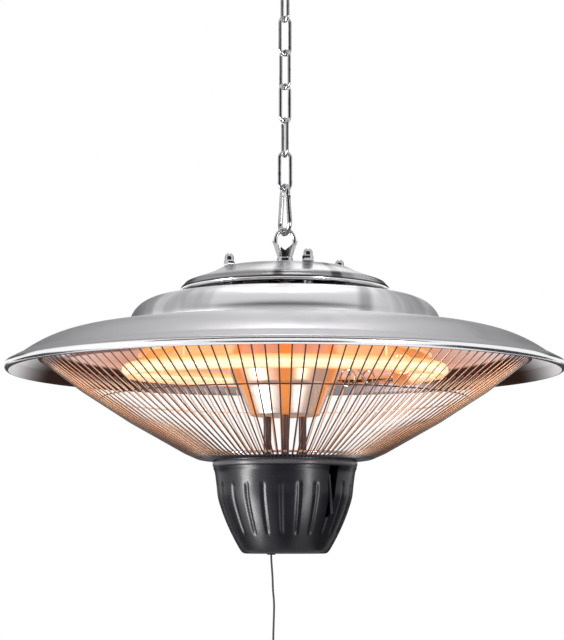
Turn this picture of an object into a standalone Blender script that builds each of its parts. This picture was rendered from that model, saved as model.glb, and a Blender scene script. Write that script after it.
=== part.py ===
"""Hanging patio heater on a chain: a spun aluminium shade with a ring-shaped halogen tube, a wire
guard and a plastic switch cup with a pull cord. Metres, +Z up, origin on the ceiling face."""

import math

import bmesh
import bpy
from mathutils import Matrix, Vector

for old in list(bpy.data.objects):
    bpy.data.objects.remove(old, do_unlink=True)

# Shared clearances and sheet
GAP = 0.0003            # air left between two pieces that touch
SHEET = 0.0012          # spun aluminium
HOLE_PLAY = 0.0003      # radial play of a rod in its hole
CUT_OVER = 0.002        # how far a cutter runs past the wall it cuts

# Ceiling fixing
PLATE_R, PLATE_T = 0.035, 0.004
EYE_WIRE, EYE_R, EYE_NECK = 0.004, 0.0085, 0.006
EYE_NECK_R, EYE_SEAT = 0.003, 0.0028
EYE_COLLAR_R, EYE_COLLAR_T = 0.0062, 0.002
EYE_YAW = 30.0
SCREW_AT, SCREW_R, SCREW_HEAD_R, SCREW_HEAD_T = 0.024, 0.0022, 0.0044, 0.0024
SCREW_PAD, SLOT_W, SLOT_D = 0.0006, 0.0009, 0.0009

# Chain: six long links, wire 2.6, pitch 26.3
LINK_WIRE, LINK_WIDTH, LINK_PITCH = 0.0026, 0.0113, 0.0263
LINK_YAWS = (-60.0, 30.0, -42.0, 37.0, -68.0, 13.5)

# Snap hook, 41 x 20, wire 3.6
SNAP_WIRE, SNAP_LONG, SNAP_TOP_R, SNAP_LOW_R = 0.0036, 0.041, 0.0046, 0.0082
SNAP_YAW = -64.0
GATE_LONG, GATE_R, GATE_DROP = 0.0130, 0.0018, 0.0092
TONGUE_T, FORK_T, PIN_R, PIN_OVER, FORK_D = 0.0011, 0.0017, 0.0006, 0.0004, 0.0038
NOSE_BACK = 0.0004

# Eye nut on the cap
BOW_WIRE, BOW_R, BOW_H, BOW_END = 0.0030, 0.0075, 0.0099, 18.0
BOW_TOP_ABOVE_CAP = 0.0314
HORN_R, HORN_ROOT_R, HORN_H, VEE_D = 0.00975, 0.00575, 0.0130, 0.0080
NUT_BASE_R, NUT_BASE_H = 0.0059, 0.0086
WASHER_R, WASHER_T = 0.0078, 0.0015
STUD_R, STUD_UP, STUD_DOWN = 0.0040, 0.0108, 0.0100
HEX_NUT_R, HEX_NUT_H = 0.0075, 0.0064

# Hat-shaped cap
CAP_R, CAP_H = 0.0788, 0.0182
CAP_OUTER_SHARES = ((.6409, 0), (.6840, .2033), (.7906, .3297), (.9175, .4560), (.9759, .5824),
                    (.9962, .7198))
CAP_BEAD_SHARES = ((1.0, .8352), (.9911, .9615), (.9759, 1.0), (.9645, .9505))
NUT_CIRCLE, NUT_TURN = 0.0455, -68.0
ACORN_R, ACORN_HEX_H, ACORN_H, ACORN_BORE = 0.0043, 0.0046, 0.0095, 0.0066
BOLT_R, BOLT_UP, BOLT_HEAD_R, BOLT_HEAD_T = 0.0020, 0.0061, 0.0034, 0.0025
SPACER_R = 0.0040

# Shade
SHADE_R, SHADE_H, SHADE_DROP = 0.2125, 0.0667, 0.0128
SHADE_HOLE_R = 0.006
SHADE_OUTER_SHARES = ((.4447, .1589), (.4880, .1829), (.5247, .2489), (.5496, .3493), (.5581, .4678),
                      (.5647, .5142), (.6588, .5307), (.7294, .5472), (.8000, .5847), (.8706, .6612),
                      (.9176, .7391), (.9529, .8426), (.9948, .9040), (1.0, .9490))
SHADE_BEAD_SHARES = ((1.0019, .9745), (.9939, 1.0), (.9859, .9745))
CROWN_SLOPE = SHADE_OUTER_SHARES[0][1] * SHADE_H / (SHADE_OUTER_SHARES[0][0] * SHADE_R - SHADE_HOLE_R)

# Reflector, twelve flat facets under the crown
REFLECTOR_SIDES, REFLECTOR_HOLE_R, REFLECTOR_FLAT_R = 12, 0.012, 0.056
REFLECTOR_INSET, REFLECTOR_H, REFLECTOR_LIP, REFLECTOR_SHEET = 0.0070, 0.0500, 0.0020, 0.0008
REFLECTOR_GAP = 0.0008

# Heating tube, a ring with an open quarter at the back
TUBE_RING_R, TUBE_R, TUBE_WALL, TUBE_DROP = 0.1190, 0.0053, 0.0011, 0.0779
TUBE_FROM, TUBE_TO, TUBE_LEAN = 31.0, -280.0, 1.73
REFLECTOR_R = TUBE_RING_R - REFLECTOR_INSET
FILAMENT_R = 0.0012
END_CAP_R, END_CAP_L = 0.0068, 0.0200
CLIP_TURNS = (-135.0, -45.0, 105.0)
CLIP_PLAY, CLIP_T, CLIP_W, CLIP_LEG_R = 0.0009, 0.0010, 0.0060, 0.0012
CLIP_REACH, CLIP_LIFT = 0.0150, 0.0007

# Column and posts
COLUMN_R, COLUMN_H, COLUMN_SHEET = 0.0440, 0.1120, 0.0010
COLUMN_SHARES = ((.8636, .4491), (1.0, .6625), (.8750, .7839), (.7955, .8116), (.6000, 1.0))
COLUMN_TOP_R = COLUMN_SHARES[0][0] * COLUMN_R
POST_CIRCLE, POST_R, POST_END_R, POST_END = 0.0155, 0.0030, 0.0017, 0.0035
POST_TURNS = (-90.0, 30.0, 150.0)
COLUMN_HOLE_R = 0.005

# Wire guard
GUARD_WIRES, GUARD_WIRE_R, GUARD_RING_R = 120, 0.0007, 0.0013
GUARD_INSET, GUARD_DROP, GUARD_H, WELD_INSET = 0.0265, 0.0695, 0.0763, 0.0043
GUARD_R = SHADE_R - GUARD_INSET
GUARD_SHARES = ((1.0, 0), (.4922, .6186), (.1041, .9882), (0, 1.0))
WELD_RING_OUT, WELD_RING_IN, WELD_RING_UP, WELD_RING_DOWN = 0.0013, 0.0015, 0.0008, 0.0012
MID_RING_SHARE, MID_RING_R = .665, 0.0007
LOW_RING_SHARE, LOW_RING_R = .969, 0.0009
BRACKET_TURNS = (-60.0, 60.0, 180.0)
BRACKET_L, BRACKET_W, BRACKET_H = 0.0120, 0.0028, 0.0060

# Switch cup
CUP_R, COVER_T, CUP_SHEET = 0.0558, 0.0008, 0.0022
COVER_DROP, COVER_HOLE_R, CUP_DROP, CUP_H = 0.1439, 0.006, 0.1470, 0.0695
CUP_SHARES = ((.9964, 0), (.9767, .0576), (.9534, .1281), (.9319, .2604), (.9122, .3928), (.8638, .5237),
              (.8011, .6561), (.7258, .7885), (.6380, .9209), (.5824, .9856), (.5376, 1.0))
SLOT_TURN, SLOT_TOP, SLOT_LOW, SLOT_TOP_W, SLOT_LOW_W = -46.0, 0.0045, 0.0420, 0.0088, 0.0020
CORD_AT = (-0.0105, 0.0)
BUSH_R, BUSH_BORE, BUSH_FLANGE_R, BUSH_FLANGE_T, BUSH_UP = 0.0030, 0.0012, 0.0050, 0.0012, 0.0012
SWITCH_L, SWITCH_W, SWITCH_H, SWITCH_UP = 0.0200, 0.0140, 0.0230, 0.0198
PLUNGER_R, PLUNGER_H, PULL_STROKE = 0.0025, 0.0050, 0.0100

# Cord and knob
CORD_R, KNOB_R, KNOB_L = 0.00075, 0.0060, 0.0260
CORD_LONG, CORD_STEP, CORD_SWAY = 0.1482, 0.0044, 0.0022
SWAY_SHARES = ((.0958, 0), (.2544, .5455), (.3576, 1.0), (.5439, .7273), (.7287, .3636), (1.0, .0909))
KNOB_SHARES = ((.30, 0), (.42, .06), (.46, .22), (.88, .42), (1.0, .62), (.96, .90), (.78, 1.0))

# Wiring inside the cap
BLOCK_L, BLOCK_W, BLOCK_H, BLOCK_AT = 0.0200, 0.0120, 0.0088, (-0.0225, 0.0)
GLAND_TURN, GLAND_CIRCLE, GLAND_R, GLAND_H, GLAND_NECK_R, GLAND_NECK, GLAND_BORE = (
    67.0, 0.036, 0.0080, 0.0092, 0.0055, 0.0055, 0.003)

# Levels, top down
PLATE_Z = -PLATE_T
EYE_Z = PLATE_Z - EYE_NECK - 2 * EYE_R
LINK_LONG = LINK_PITCH + LINK_WIRE + GAP
LINK_TOPS = [EYE_Z + (EYE_WIRE + LINK_WIRE) / 2 + GAP - LINK_PITCH * n for n in range(len(LINK_YAWS))]
LINK_HINGES = [EYE_Z] + [top - LINK_LONG for top in LINK_TOPS[:-1]]
SNAP_HINGE_Z = LINK_TOPS[-1] - LINK_LONG
SNAP_TOP_Z = SNAP_HINGE_Z + (LINK_WIRE + SNAP_WIRE) / 2 + GAP
HEATER_HINGE_Z = SNAP_TOP_Z - (SNAP_LONG - SNAP_WIRE)
BOW_TOP_Z = HEATER_HINGE_Z + (SNAP_WIRE + BOW_WIRE) / 2 + GAP
CAP_Z = BOW_TOP_Z - BOW_TOP_ABOVE_CAP
SHADE_Z = CAP_Z - SHADE_DROP
COVER_Z = CAP_Z - COVER_DROP
CUP_Z = CAP_Z - CUP_DROP
CUP_LOW_Z = CUP_Z - CUP_H

LATHE_STEPS, FINE_STEPS, CUP_STEPS, SMALL_STEPS, RING_STEPS = 24, 32, 20, 12, 24
WELD = 1e-6


def material(name, colour, metallic, roughness):
    made = bpy.data.materials.new(name)
    made.use_nodes = True
    shader = made.node_tree.nodes["Principled BSDF"]
    shader.inputs["Base Color"].default_value = (*colour, 1)
    shader.inputs["Metallic"].default_value = metallic
    shader.inputs["Roughness"].default_value = roughness
    return made


COLOURS = {
    "zinc": ((.62, .62, .64), 1, .28), "chrome": ((.80, .80, .82), 1, .10),
    "aluminium": ((.70, .70, .71), 1, .32), "steel": ((.66, .60, .56), 1, .30),
    "charcoal": ((.060, .065, .070), 0, .45), "black": ((.012, .012, .013), 0, .50),
    "quartz": ((.95, .80, .48), 0, .12), "tungsten": ((.90, .55, .20), 1, .40),
    "ceramic": ((.80, .78, .73), 0, .40), "brown": ((.16, .10, .08), 1, .45),
    "cream": ((.74, .72, .66), 0, .50), "reflector": ((.82, .78, .74), 1, .16),
}

helpers = bpy.data.collections.new("helpers")
bpy.context.scene.collection.children.link(helpers)


def as_helper(obj):
    """A cutter or a piece to be joined: kept out of the render and drawn as wire."""
    for home in list(obj.users_collection):
        home.objects.unlink(obj)
    helpers.objects.link(obj)
    obj.hide_render = True
    obj.display_type = "WIRE"
    return obj


def from_bmesh(name, bm):
    bmesh.ops.remove_doubles(bm, verts=bm.verts, dist=WELD)
    bmesh.ops.recalc_face_normals(bm, faces=bm.faces)
    mesh = bpy.data.meshes.new(name)
    bm.to_mesh(mesh)
    bm.free()
    obj = bpy.data.objects.new(name, mesh)
    bpy.context.scene.collection.objects.link(obj)
    return obj


def node(obj, finish, origin=None):
    """Gives the piece its own material, and puts its origin on its joint where it moves."""
    obj.data.materials.clear()
    obj.data.materials.append(material(obj.name, *COLOURS[finish]))
    if origin is not None:
        obj.data.transform(Matrix.Translation(-Vector(origin)))
        obj.location = origin
    return obj


def lathe(name, outline, steps=LATHE_STEPS, at=(0, 0), turn=0.0, closed=True):
    """Turns an outline of (radius, z), given down the outer side, about a vertical axis through at."""
    mesh = bpy.data.meshes.new(name)
    points = [(r, 0, z) for r, z in outline]
    edges = [(i, i + 1) for i in range(len(points) - 1)]
    if closed:
        edges.append((len(points) - 1, 0))
    mesh.from_pydata(points, edges, [])
    obj = bpy.data.objects.new(name, mesh)
    bpy.context.scene.collection.objects.link(obj)
    screw = obj.modifiers.new("Turn", "SCREW")
    screw.steps = screw.render_steps = steps
    screw.use_merge_vertices = True
    screw.merge_threshold = WELD
    screw.use_normal_calculate = False
    bpy.context.view_layer.update()
    made = bpy.data.meshes.new_from_object(obj.evaluated_get(bpy.context.evaluated_depsgraph_get()))
    bpy.data.objects.remove(obj)
    bm = bmesh.new()
    bm.from_mesh(made)
    bmesh.ops.rotate(bm, verts=bm.verts, cent=(0, 0, 0), matrix=Matrix.Rotation(math.radians(turn), 3, "Z"))
    bmesh.ops.translate(bm, verts=bm.verts, vec=(at[0], at[1], 0))
    return from_bmesh(name, bm)


def rod(name, radius, low, high, at=(0, 0), steps=SMALL_STEPS, turn=0.0):
    return lathe(name, ((0, high), (radius, high), (radius, low), (0, low)), steps, at, turn, closed=False)


def drill(name, radius, low, high, at=(0, 0)):
    """A hole cutter, turned a little so that its corners miss those of the sheet it goes through."""
    return rod(name, radius + HOLE_PLAY, low, high, at, 12, 11.0)


def pipe(name, radius, bore, low, high, at=(0, 0), steps=SMALL_STEPS, turn=0.0):
    return lathe(name, ((radius, high), (radius, low), (bore, low), (bore, high)), steps, at, turn)


def inside(outline, wall):
    """The same outline moved inwards by the wall, for the inner side of a sheet."""
    moved = []
    for i, (r, z) in enumerate(outline):
        before = Vector(outline[max(i - 1, 0)])
        after = Vector(outline[min(i + 1, len(outline) - 1)])
        here = Vector((r, z))
        normals = []
        for a, b in ((before, here), (here, after)):
            step = b - a
            if step.length > WELD:
                normals.append(Vector((step.y, -step.x)).normalized())
        normal = sum(normals, Vector((0, 0))).normalized()
        wide = wall / max(normal.dot(normals[0]), 0.5)
        moved.append((r + normal.x * wide, z + normal.y * wide))
    return moved


def box(name, size, centre, matrix=None):
    bm = bmesh.new()
    bmesh.ops.create_cube(bm, size=1)
    bmesh.ops.scale(bm, verts=bm.verts, vec=size)
    if matrix is not None:
        bmesh.ops.transform(bm, verts=bm.verts, matrix=matrix)
    bmesh.ops.translate(bm, verts=bm.verts, vec=centre)
    return from_bmesh(name, bm)


def prism(name, outline, depth, matrix):
    """A flat outline in local XZ, thickened along local Y about the middle."""
    bm = bmesh.new()
    front = [bm.verts.new((x, -depth / 2, z)) for x, z in outline]
    back = [bm.verts.new((x, depth / 2, z)) for x, z in outline]
    bm.faces.new(front)
    bm.faces.new(list(reversed(back)))
    for i in range(len(outline)):
        j = (i + 1) % len(outline)
        bm.faces.new((front[j], front[i], back[i], back[j]))
    bmesh.ops.transform(bm, verts=bm.verts, matrix=matrix)
    return from_bmesh(name, bm)


def wire(name, paths, radius, closed=False, round_steps=2):
    """Round wire along each path, as one mesh."""
    curve = bpy.data.curves.new(name, "CURVE")
    curve.dimensions = "3D"
    curve.bevel_depth = radius
    curve.bevel_resolution = round_steps
    curve.use_fill_caps = True
    for path in paths:
        spline = curve.splines.new("POLY")
        spline.points.add(len(path) - 1)
        for point, at in zip(spline.points, path):
            point.co = (*at, 1)
        spline.use_cyclic_u = closed
    carrier = bpy.data.objects.new(name, curve)
    bpy.context.scene.collection.objects.link(carrier)
    bpy.context.view_layer.update()
    made = bpy.data.meshes.new_from_object(carrier.evaluated_get(bpy.context.evaluated_depsgraph_get()))
    bpy.data.objects.remove(carrier)
    bm = bmesh.new()
    bm.from_mesh(made)
    return from_bmesh(name, bm)


def combine(base, others, operation):
    """Runs a Boolean per other piece and bakes the result."""
    for i, other in enumerate(others):
        as_helper(other)
        step = base.modifiers.new(f"{operation.title()} {i + 1}", "BOOLEAN")
        step.operation = operation
        step.object = other
    bpy.context.view_layer.update()
    baked = bpy.data.meshes.new_from_object(base.evaluated_get(bpy.context.evaluated_depsgraph_get()))
    base.modifiers.clear()
    base.data = baked
    return base


def cut(base, *cutters):
    return combine(base, cutters, "DIFFERENCE")


def join(base, *pieces):
    return combine(base, pieces, "UNION")


def yaw(degrees):
    return Matrix.Rotation(math.radians(degrees), 4, "Z")


def around(radius, degrees, z=0.0):
    return Vector((radius * math.cos(math.radians(degrees)), radius * math.sin(math.radians(degrees)), z))


def arc(radius, first, last, steps):
    """(x, z) points of an arc in an upright plane, angles from +X towards +Z."""
    angles = [math.radians(first + (last - first) * i / steps) for i in range(steps + 1)]
    return [(radius * math.cos(a), radius * math.sin(a)) for a in angles]


def upright(points, plane_yaw, z):
    turn = yaw(plane_yaw)
    return [turn @ Vector((x, 0, z + up)) for x, up in points]


# Ceiling plate, eye and screws
plate = rod("ceiling_plate", PLATE_R, PLATE_Z, 0, steps=LATHE_STEPS)
screw_spots = [(-SCREW_AT, 0), (SCREW_AT, 0)]
cutters = [drill("eye_seat", EYE_NECK_R, PLATE_Z - CUT_OVER, PLATE_Z + EYE_SEAT + GAP)]
for n, spot in enumerate(screw_spots):
    cutters.append(drill(f"screw_way_{n}", SCREW_R, PLATE_Z - CUT_OVER, CUT_OVER, spot))
node(cut(plate, *cutters), "zinc")

eye = wire("ceiling_hook", [upright(arc(EYE_R, 0, 342, 19), EYE_YAW, EYE_Z + EYE_R)], EYE_WIRE / 2, True)
neck = rod("eye_neck", EYE_NECK_R, EYE_Z + 2 * EYE_R - EYE_WIRE / 4, PLATE_Z + EYE_SEAT)
collar = rod("eye_collar", EYE_COLLAR_R, PLATE_Z - GAP - EYE_COLLAR_T, PLATE_Z - GAP)
node(join(eye, neck, collar), "zinc")

for n, spot in enumerate(screw_spots):
    head_top = PLATE_Z - GAP
    head = lathe(f"plate_screw_{n + 1}",
                 ((0, -GAP), (SCREW_R, -GAP), (SCREW_R, head_top), (SCREW_HEAD_R, head_top),
                  (SCREW_HEAD_R, head_top - SCREW_PAD), (SCREW_HEAD_R * 0.6, head_top - SCREW_HEAD_T),
                  (0, head_top - SCREW_HEAD_T)), SMALL_STEPS, spot, closed=False)
    slot = box(f"screw_slot_{n}", (2 * SCREW_HEAD_R, SLOT_W, 2 * SLOT_D),
               (*spot, head_top - SCREW_HEAD_T))
    node(cut(head, slot), "zinc")

# Chain links, each turned on its own yaw, with its origin on the wire it hangs from
link_r = (LINK_WIDTH - LINK_WIRE) / 2
for n, (top, hinge, turn) in enumerate(zip(LINK_TOPS, LINK_HINGES, LINK_YAWS)):
    upper = [(x, up - link_r) for x, up in arc(link_r, 0, 180, 6)]
    lower = [(x, up + link_r - LINK_LONG) for x, up in arc(link_r, 180, 360, 6)]
    link = wire(f"chain_link_{n + 1}", [upright(upper + lower, turn, top)], LINK_WIRE / 2, True)
    node(link, "zinc", (0, 0, hinge))

# Snap hook: a pear-shaped wire with a gate on one side
snap_low = SNAP_LONG - SNAP_WIRE
spread = snap_low - SNAP_TOP_R - SNAP_LOW_R
lean = math.degrees(math.asin((SNAP_LOW_R - SNAP_TOP_R) / spread))
tangent = Vector((math.sin(math.radians(lean)), -math.cos(math.radians(lean))))
top_tangent = Vector((math.cos(math.radians(lean)), math.sin(math.radians(lean)))) * SNAP_TOP_R
top_tangent.y -= SNAP_TOP_R
pin_at = top_tangent + tangent * (GATE_DROP - (SNAP_TOP_R - top_tangent.y - SNAP_TOP_R))
nose_at = pin_at + tangent * GATE_LONG
low_centre = Vector((0, SNAP_LOW_R - snap_low))
low_start = low_centre + Vector((math.cos(math.radians(lean)), math.sin(math.radians(lean)))) * SNAP_LOW_R
tongue_top = pin_at - tangent * (PIN_R + GATE_R)
body_path = [tuple(tongue_top)]
body_path += [(x, up - SNAP_TOP_R) for x, up in arc(SNAP_TOP_R, lean, 180 - lean, 8)]
body_path += [(x + low_centre.x, up + low_centre.y) for x, up in arc(SNAP_LOW_R, 180 - lean, 360 + lean, 12)]
nose_stop = nose_at + tangent * (GAP + NOSE_BACK)
body_path.append(tuple(nose_stop))
snap = wire("snap_hook_body", [upright(body_path, SNAP_YAW, SNAP_TOP_Z)], SNAP_WIRE / 2)

snap_turn = Matrix.Translation((0, 0, SNAP_TOP_Z)) @ yaw(SNAP_YAW)


def along_gate(start, length, wide, thick, name):
    """A bar in the hook's plane that runs down the gate line from start."""
    side = Vector((-tangent.y, tangent.x)) * (wide / 2)
    end = start + tangent * length
    outline = [tuple(p) for p in (start + side, start - side, end - side, end + side)]
    return prism(name, outline, thick, snap_turn)


tongue = along_gate(tongue_top - tangent * GATE_R, PIN_R + 2 * GATE_R + PIN_R + 2 * PIN_R,
                    2 * GATE_R * 0.8, TONGUE_T, "tongue")
across = Matrix.Rotation(math.radians(90), 4, "X")


def cross_pin(name, radius, length):
    bm = bmesh.new()
    bmesh.ops.create_cone(bm, cap_ends=True, segments=SMALL_STEPS, radius1=radius, radius2=radius, depth=length)
    bmesh.ops.transform(bm, verts=bm.verts, matrix=snap_turn @ Matrix.Translation((pin_at.x, 0, pin_at.y)) @ across)
    return from_bmesh(name, bm)


snap = join(snap, tongue)
node(cut(snap, cross_pin("tongue_bore", PIN_R + HOLE_PLAY, 4 * GATE_R)), "zinc", (0, 0, SNAP_HINGE_Z))

gate_start = pin_at - tangent * (PIN_R + 2 * HOLE_PLAY)
gate_path = [tuple(gate_start + (nose_at - gate_start) * (i / 4)) for i in range(5)]
gate = wire("snap_hook_gate", [upright(gate_path, SNAP_YAW, SNAP_TOP_Z)], GATE_R)
fork = along_gate(gate_start - tangent * GATE_R, FORK_D + GATE_R, 4 * GATE_R, FORK_T, "fork")
gate = cut(gate, fork, cross_pin("gate_bore", PIN_R + HOLE_PLAY, 4 * GATE_R))
gate_hinge = snap_turn @ Vector((pin_at.x, 0, pin_at.y))
node(gate, "zinc", gate_hinge)
node(cross_pin("gate_pin", PIN_R, 2 * (GATE_R + PIN_OVER)), "chrome", gate_hinge)

# Eye nut: a bow on a grooved cone
bow_mid = BOW_TOP_Z - BOW_H
bow_angles = [math.radians(-BOW_END + (180 + 2 * BOW_END) * i / 16) for i in range(17)]
bow_path = [Vector((BOW_R * math.cos(a), 0, bow_mid + BOW_H * math.sin(a))) for a in bow_angles]
bow = wire("bow", [bow_path], BOW_WIRE / 2)
washer_low = CAP_Z + GAP
base_low = washer_low + WASHER_T + GAP
horn_low = base_low + NUT_BASE_H - WASHER_T
horn_top = horn_low + HORN_H
nut = lathe("eye_nut", ((0, horn_top), (HORN_R, horn_top), (HORN_ROOT_R, horn_low), (NUT_BASE_R, horn_low),
                        (NUT_BASE_R, base_low), (0, base_low)), 20, closed=False)
vee = prism("vee", ((0, horn_top - VEE_D), (HORN_R, horn_top), (HORN_R, horn_top + VEE_D),
                    (-HORN_R, horn_top + VEE_D), (-HORN_R, horn_top)), 4 * HORN_R, Matrix.Identity(4))
nut = cut(nut, vee)
nut = join(nut, bow)
bore_top = CAP_Z + STUD_UP + GAP
HEATER_AT = (0, 0, HEATER_HINGE_Z)
node(cut(nut, drill("nut_bore", STUD_R, base_low - CUT_OVER, bore_top)), "chrome", HEATER_AT)
node(pipe("top_washer", WASHER_R, STUD_R + HOLE_PLAY, washer_low, washer_low + WASHER_T, steps=SMALL_STEPS),
     "zinc", HEATER_AT)
node(rod("hanger_stud", STUD_R, CAP_Z - STUD_DOWN, CAP_Z + STUD_UP), "zinc", HEATER_AT)
nut_top = CAP_Z - SHEET - GAP
hanger_nut = rod("hanger_nut", HEX_NUT_R, nut_top - HEX_NUT_H, nut_top, steps=6)
node(cut(hanger_nut, drill("hanger_nut_bore", STUD_R, nut_top - HEX_NUT_H - CUT_OVER, nut_top + CUT_OVER)),
     "zinc", HEATER_AT)

# Cap, with its four nuts, bolts and spacers
spots = [tuple(around(NUT_CIRCLE, NUT_TURN + 90 * n).xy) for n in range(4)]
cap_hole_r = STUD_R + HOLE_PLAY
cap_outer = [(cap_hole_r, CAP_Z)] + [(r * CAP_R, CAP_Z - z * CAP_H) for r, z in CAP_OUTER_SHARES]
cap_bead = [(r * CAP_R, CAP_Z - z * CAP_H) for r, z in CAP_BEAD_SHARES]
cap = lathe("top_cap", cap_outer + cap_bead + list(reversed(inside(cap_outer, SHEET))))
gland_at = tuple(around(GLAND_CIRCLE, GLAND_TURN).xy)
cutters = [drill(f"cap_way_{n}", BOLT_R, CAP_Z - SHEET - CUT_OVER, CAP_Z + CUT_OVER, spot)
           for n, spot in enumerate(spots)]
cutters.append(drill("gland_way", GLAND_NECK_R, CAP_Z - SHEET - CUT_OVER, CAP_Z + CUT_OVER, gland_at))
node(cut(cap, *cutters), "aluminium", HEATER_AT)

crown = SHADE_Z - (NUT_CIRCLE - SHADE_HOLE_R) * CROWN_SLOPE
spacer_low = crown + SPACER_R * CROWN_SLOPE + GAP
reflector_top = SHADE_Z - SHEET - REFLECTOR_GAP
head_top = crown - SHEET - REFLECTOR_GAP - REFLECTOR_SHEET - BOLT_HEAD_R * CROWN_SLOPE - 2 * GAP
for n, spot in enumerate(spots):
    nut_low = CAP_Z + GAP
    dome = ((0, nut_low + ACORN_H), (ACORN_R * 0.45, nut_low + ACORN_H * 0.96),
            (ACORN_R * 0.76, nut_low + ACORN_H * 0.80), (ACORN_R * 0.80, nut_low + ACORN_HEX_H),
            (0, nut_low + ACORN_HEX_H))
    acorn = rod(f"acorn_nut_{n + 1}", ACORN_R, nut_low, nut_low + ACORN_HEX_H + GAP, spot, 6, 15.0 * n)
    acorn = join(acorn, lathe(f"dome_{n}", dome, SMALL_STEPS, spot, closed=False))
    acorn_bore = drill(f"acorn_bore_{n}", BOLT_R, nut_low - CUT_OVER, nut_low + ACORN_BORE, spot)
    node(cut(acorn, acorn_bore), "chrome", HEATER_AT)
    bolt = lathe(f"cap_stud_{n + 1}",
                 ((0, CAP_Z + BOLT_UP), (BOLT_R, CAP_Z + BOLT_UP), (BOLT_R, head_top), (BOLT_HEAD_R, head_top),
                  (BOLT_HEAD_R, head_top - BOLT_HEAD_T), (0, head_top - BOLT_HEAD_T)),
                 SMALL_STEPS, spot, closed=False)
    node(bolt, "zinc", HEATER_AT)
    node(pipe(f"cap_spacer_{n + 1}", SPACER_R, BOLT_R + HOLE_PLAY, spacer_low, CAP_Z - SHEET - GAP, spot),
         "zinc", HEATER_AT)

# Shade
shade_outer = [(SHADE_HOLE_R, SHADE_Z)] + [(r * SHADE_R, SHADE_Z - z * SHADE_H) for r, z in SHADE_OUTER_SHARES]
shade_bead = [(r * SHADE_R, SHADE_Z - z * SHADE_H) for r, z in SHADE_BEAD_SHARES]
shade_inner = inside(shade_outer, SHEET)
keep = [p for i, p in enumerate(shade_inner[:-1]) if i not in (2, 8)]
shade = lathe("shade", shade_outer + shade_bead + list(reversed(keep)), FINE_STEPS)
cutters = [drill(f"shade_way_{n}", BOLT_R, crown - SHEET - CUT_OVER, crown + CUT_OVER, spot)
           for n, spot in enumerate(spots)]
node(cut(shade, *cutters), "aluminium", HEATER_AT)

# Reflector
cone_top = reflector_top - (REFLECTOR_FLAT_R - SHADE_HOLE_R) * CROWN_SLOPE
reflector_outer = [(REFLECTOR_HOLE_R, reflector_top - (REFLECTOR_HOLE_R - SHADE_HOLE_R) * CROWN_SLOPE),
                   (REFLECTOR_FLAT_R, cone_top), (REFLECTOR_R, reflector_top - REFLECTOR_H),
                   (REFLECTOR_R, reflector_top - REFLECTOR_H - REFLECTOR_LIP)]
reflector = lathe("reflector_plate", reflector_outer + list(reversed(inside(reflector_outer, REFLECTOR_SHEET))),
                  REFLECTOR_SIDES)
low = crown - SHEET - REFLECTOR_GAP - REFLECTOR_SHEET
cutters = [drill(f"reflector_way_{n}", BOLT_R, low - CUT_OVER, low + 2 * CUT_OVER, spot)
           for n, spot in enumerate(spots)]
node(cut(reflector, *cutters), "reflector", HEATER_AT)

# Heating tube with its filament, end caps and clips
tube_z = CAP_Z - TUBE_DROP


def on_ring(degrees):
    spot = around(TUBE_RING_R, degrees)
    return Vector((spot.x, spot.y, tube_z + spot.y * math.tan(math.radians(TUBE_LEAN))))


def ring_path(first, last, steps):
    return [on_ring(first + (last - first) * i / steps) for i in range(steps + 1)]


def ring_frame(degrees):
    """Local +Z along the tube, local +X outwards, at that angle of the ring."""
    ahead = (on_ring(degrees + 0.5) - on_ring(degrees - 0.5)).normalized()
    outwards = around(1, degrees)
    outwards = (outwards - ahead * outwards.dot(ahead)).normalized()
    up = ahead.cross(outwards)
    turn = Matrix((outwards, up, ahead)).transposed().to_4x4()
    return Matrix.Translation(on_ring(degrees)) @ turn


tube = wire("heating_tube", [ring_path(TUBE_FROM, TUBE_TO, RING_STEPS)], TUBE_R)
bore_path = ring_path(TUBE_FROM, TUBE_TO, RING_STEPS)
bore_path[0] += (bore_path[0] - bore_path[1]).normalized() * CUT_OVER
bore_path[-1] += (bore_path[-1] - bore_path[-2]).normalized() * CUT_OVER
node(cut(tube, wire("tube_bore", [bore_path], TUBE_R - TUBE_WALL)), "quartz", HEATER_AT)
filament = wire("tube_filament", [ring_path(TUBE_FROM, TUBE_TO, RING_STEPS)],
                FILAMENT_R, round_steps=0)
node(filament, "tungsten", HEATER_AT)

for n, (degrees, way) in enumerate(((TUBE_FROM, 1), (TUBE_TO, -1))):
    path = [on_ring(degrees), on_ring(degrees - way * (TUBE_FROM - TUBE_TO) / RING_STEPS)]
    ahead = (path[0] - path[1]).normalized()
    start = path[0] + ahead * GAP
    node(wire(f"tube_end_cap_{n + 1}", [[start, start + ahead * END_CAP_L]], END_CAP_R, round_steps=4),
         "ceramic", HEATER_AT)

for n, degrees in enumerate(CLIP_TURNS):
    frame = ring_frame(degrees)
    bm = bmesh.new()
    outer, inner = TUBE_R + CLIP_PLAY + CLIP_T, TUBE_R + CLIP_PLAY
    bmesh.ops.create_cone(bm, cap_ends=True, segments=SMALL_STEPS, radius1=outer, radius2=outer, depth=CLIP_W)
    bmesh.ops.transform(bm, verts=bm.verts, matrix=frame)
    ring = from_bmesh(f"tube_clip_{n + 1}", bm)
    bm = bmesh.new()
    bmesh.ops.create_cone(bm, cap_ends=True, segments=SMALL_STEPS, radius1=inner, radius2=inner,
                          depth=CLIP_W + 2 * CUT_OVER)
    bmesh.ops.transform(bm, verts=bm.verts, matrix=frame)
    through = from_bmesh(f"clip_bore_{n}", bm)
    spot = on_ring(degrees)
    leg = [around(TUBE_RING_R - outer + CLIP_T / 2, degrees, spot.z),
           around(TUBE_RING_R - CLIP_REACH, degrees, spot.z),
           around(TUBE_RING_R - CLIP_REACH, degrees, reflector_top - REFLECTOR_H + CLIP_LIFT)]
    ring = join(ring, wire(f"clip_leg_{n}", [leg], CLIP_LEG_R, round_steps=1))
    node(cut(ring, through), "zinc", HEATER_AT)

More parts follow.
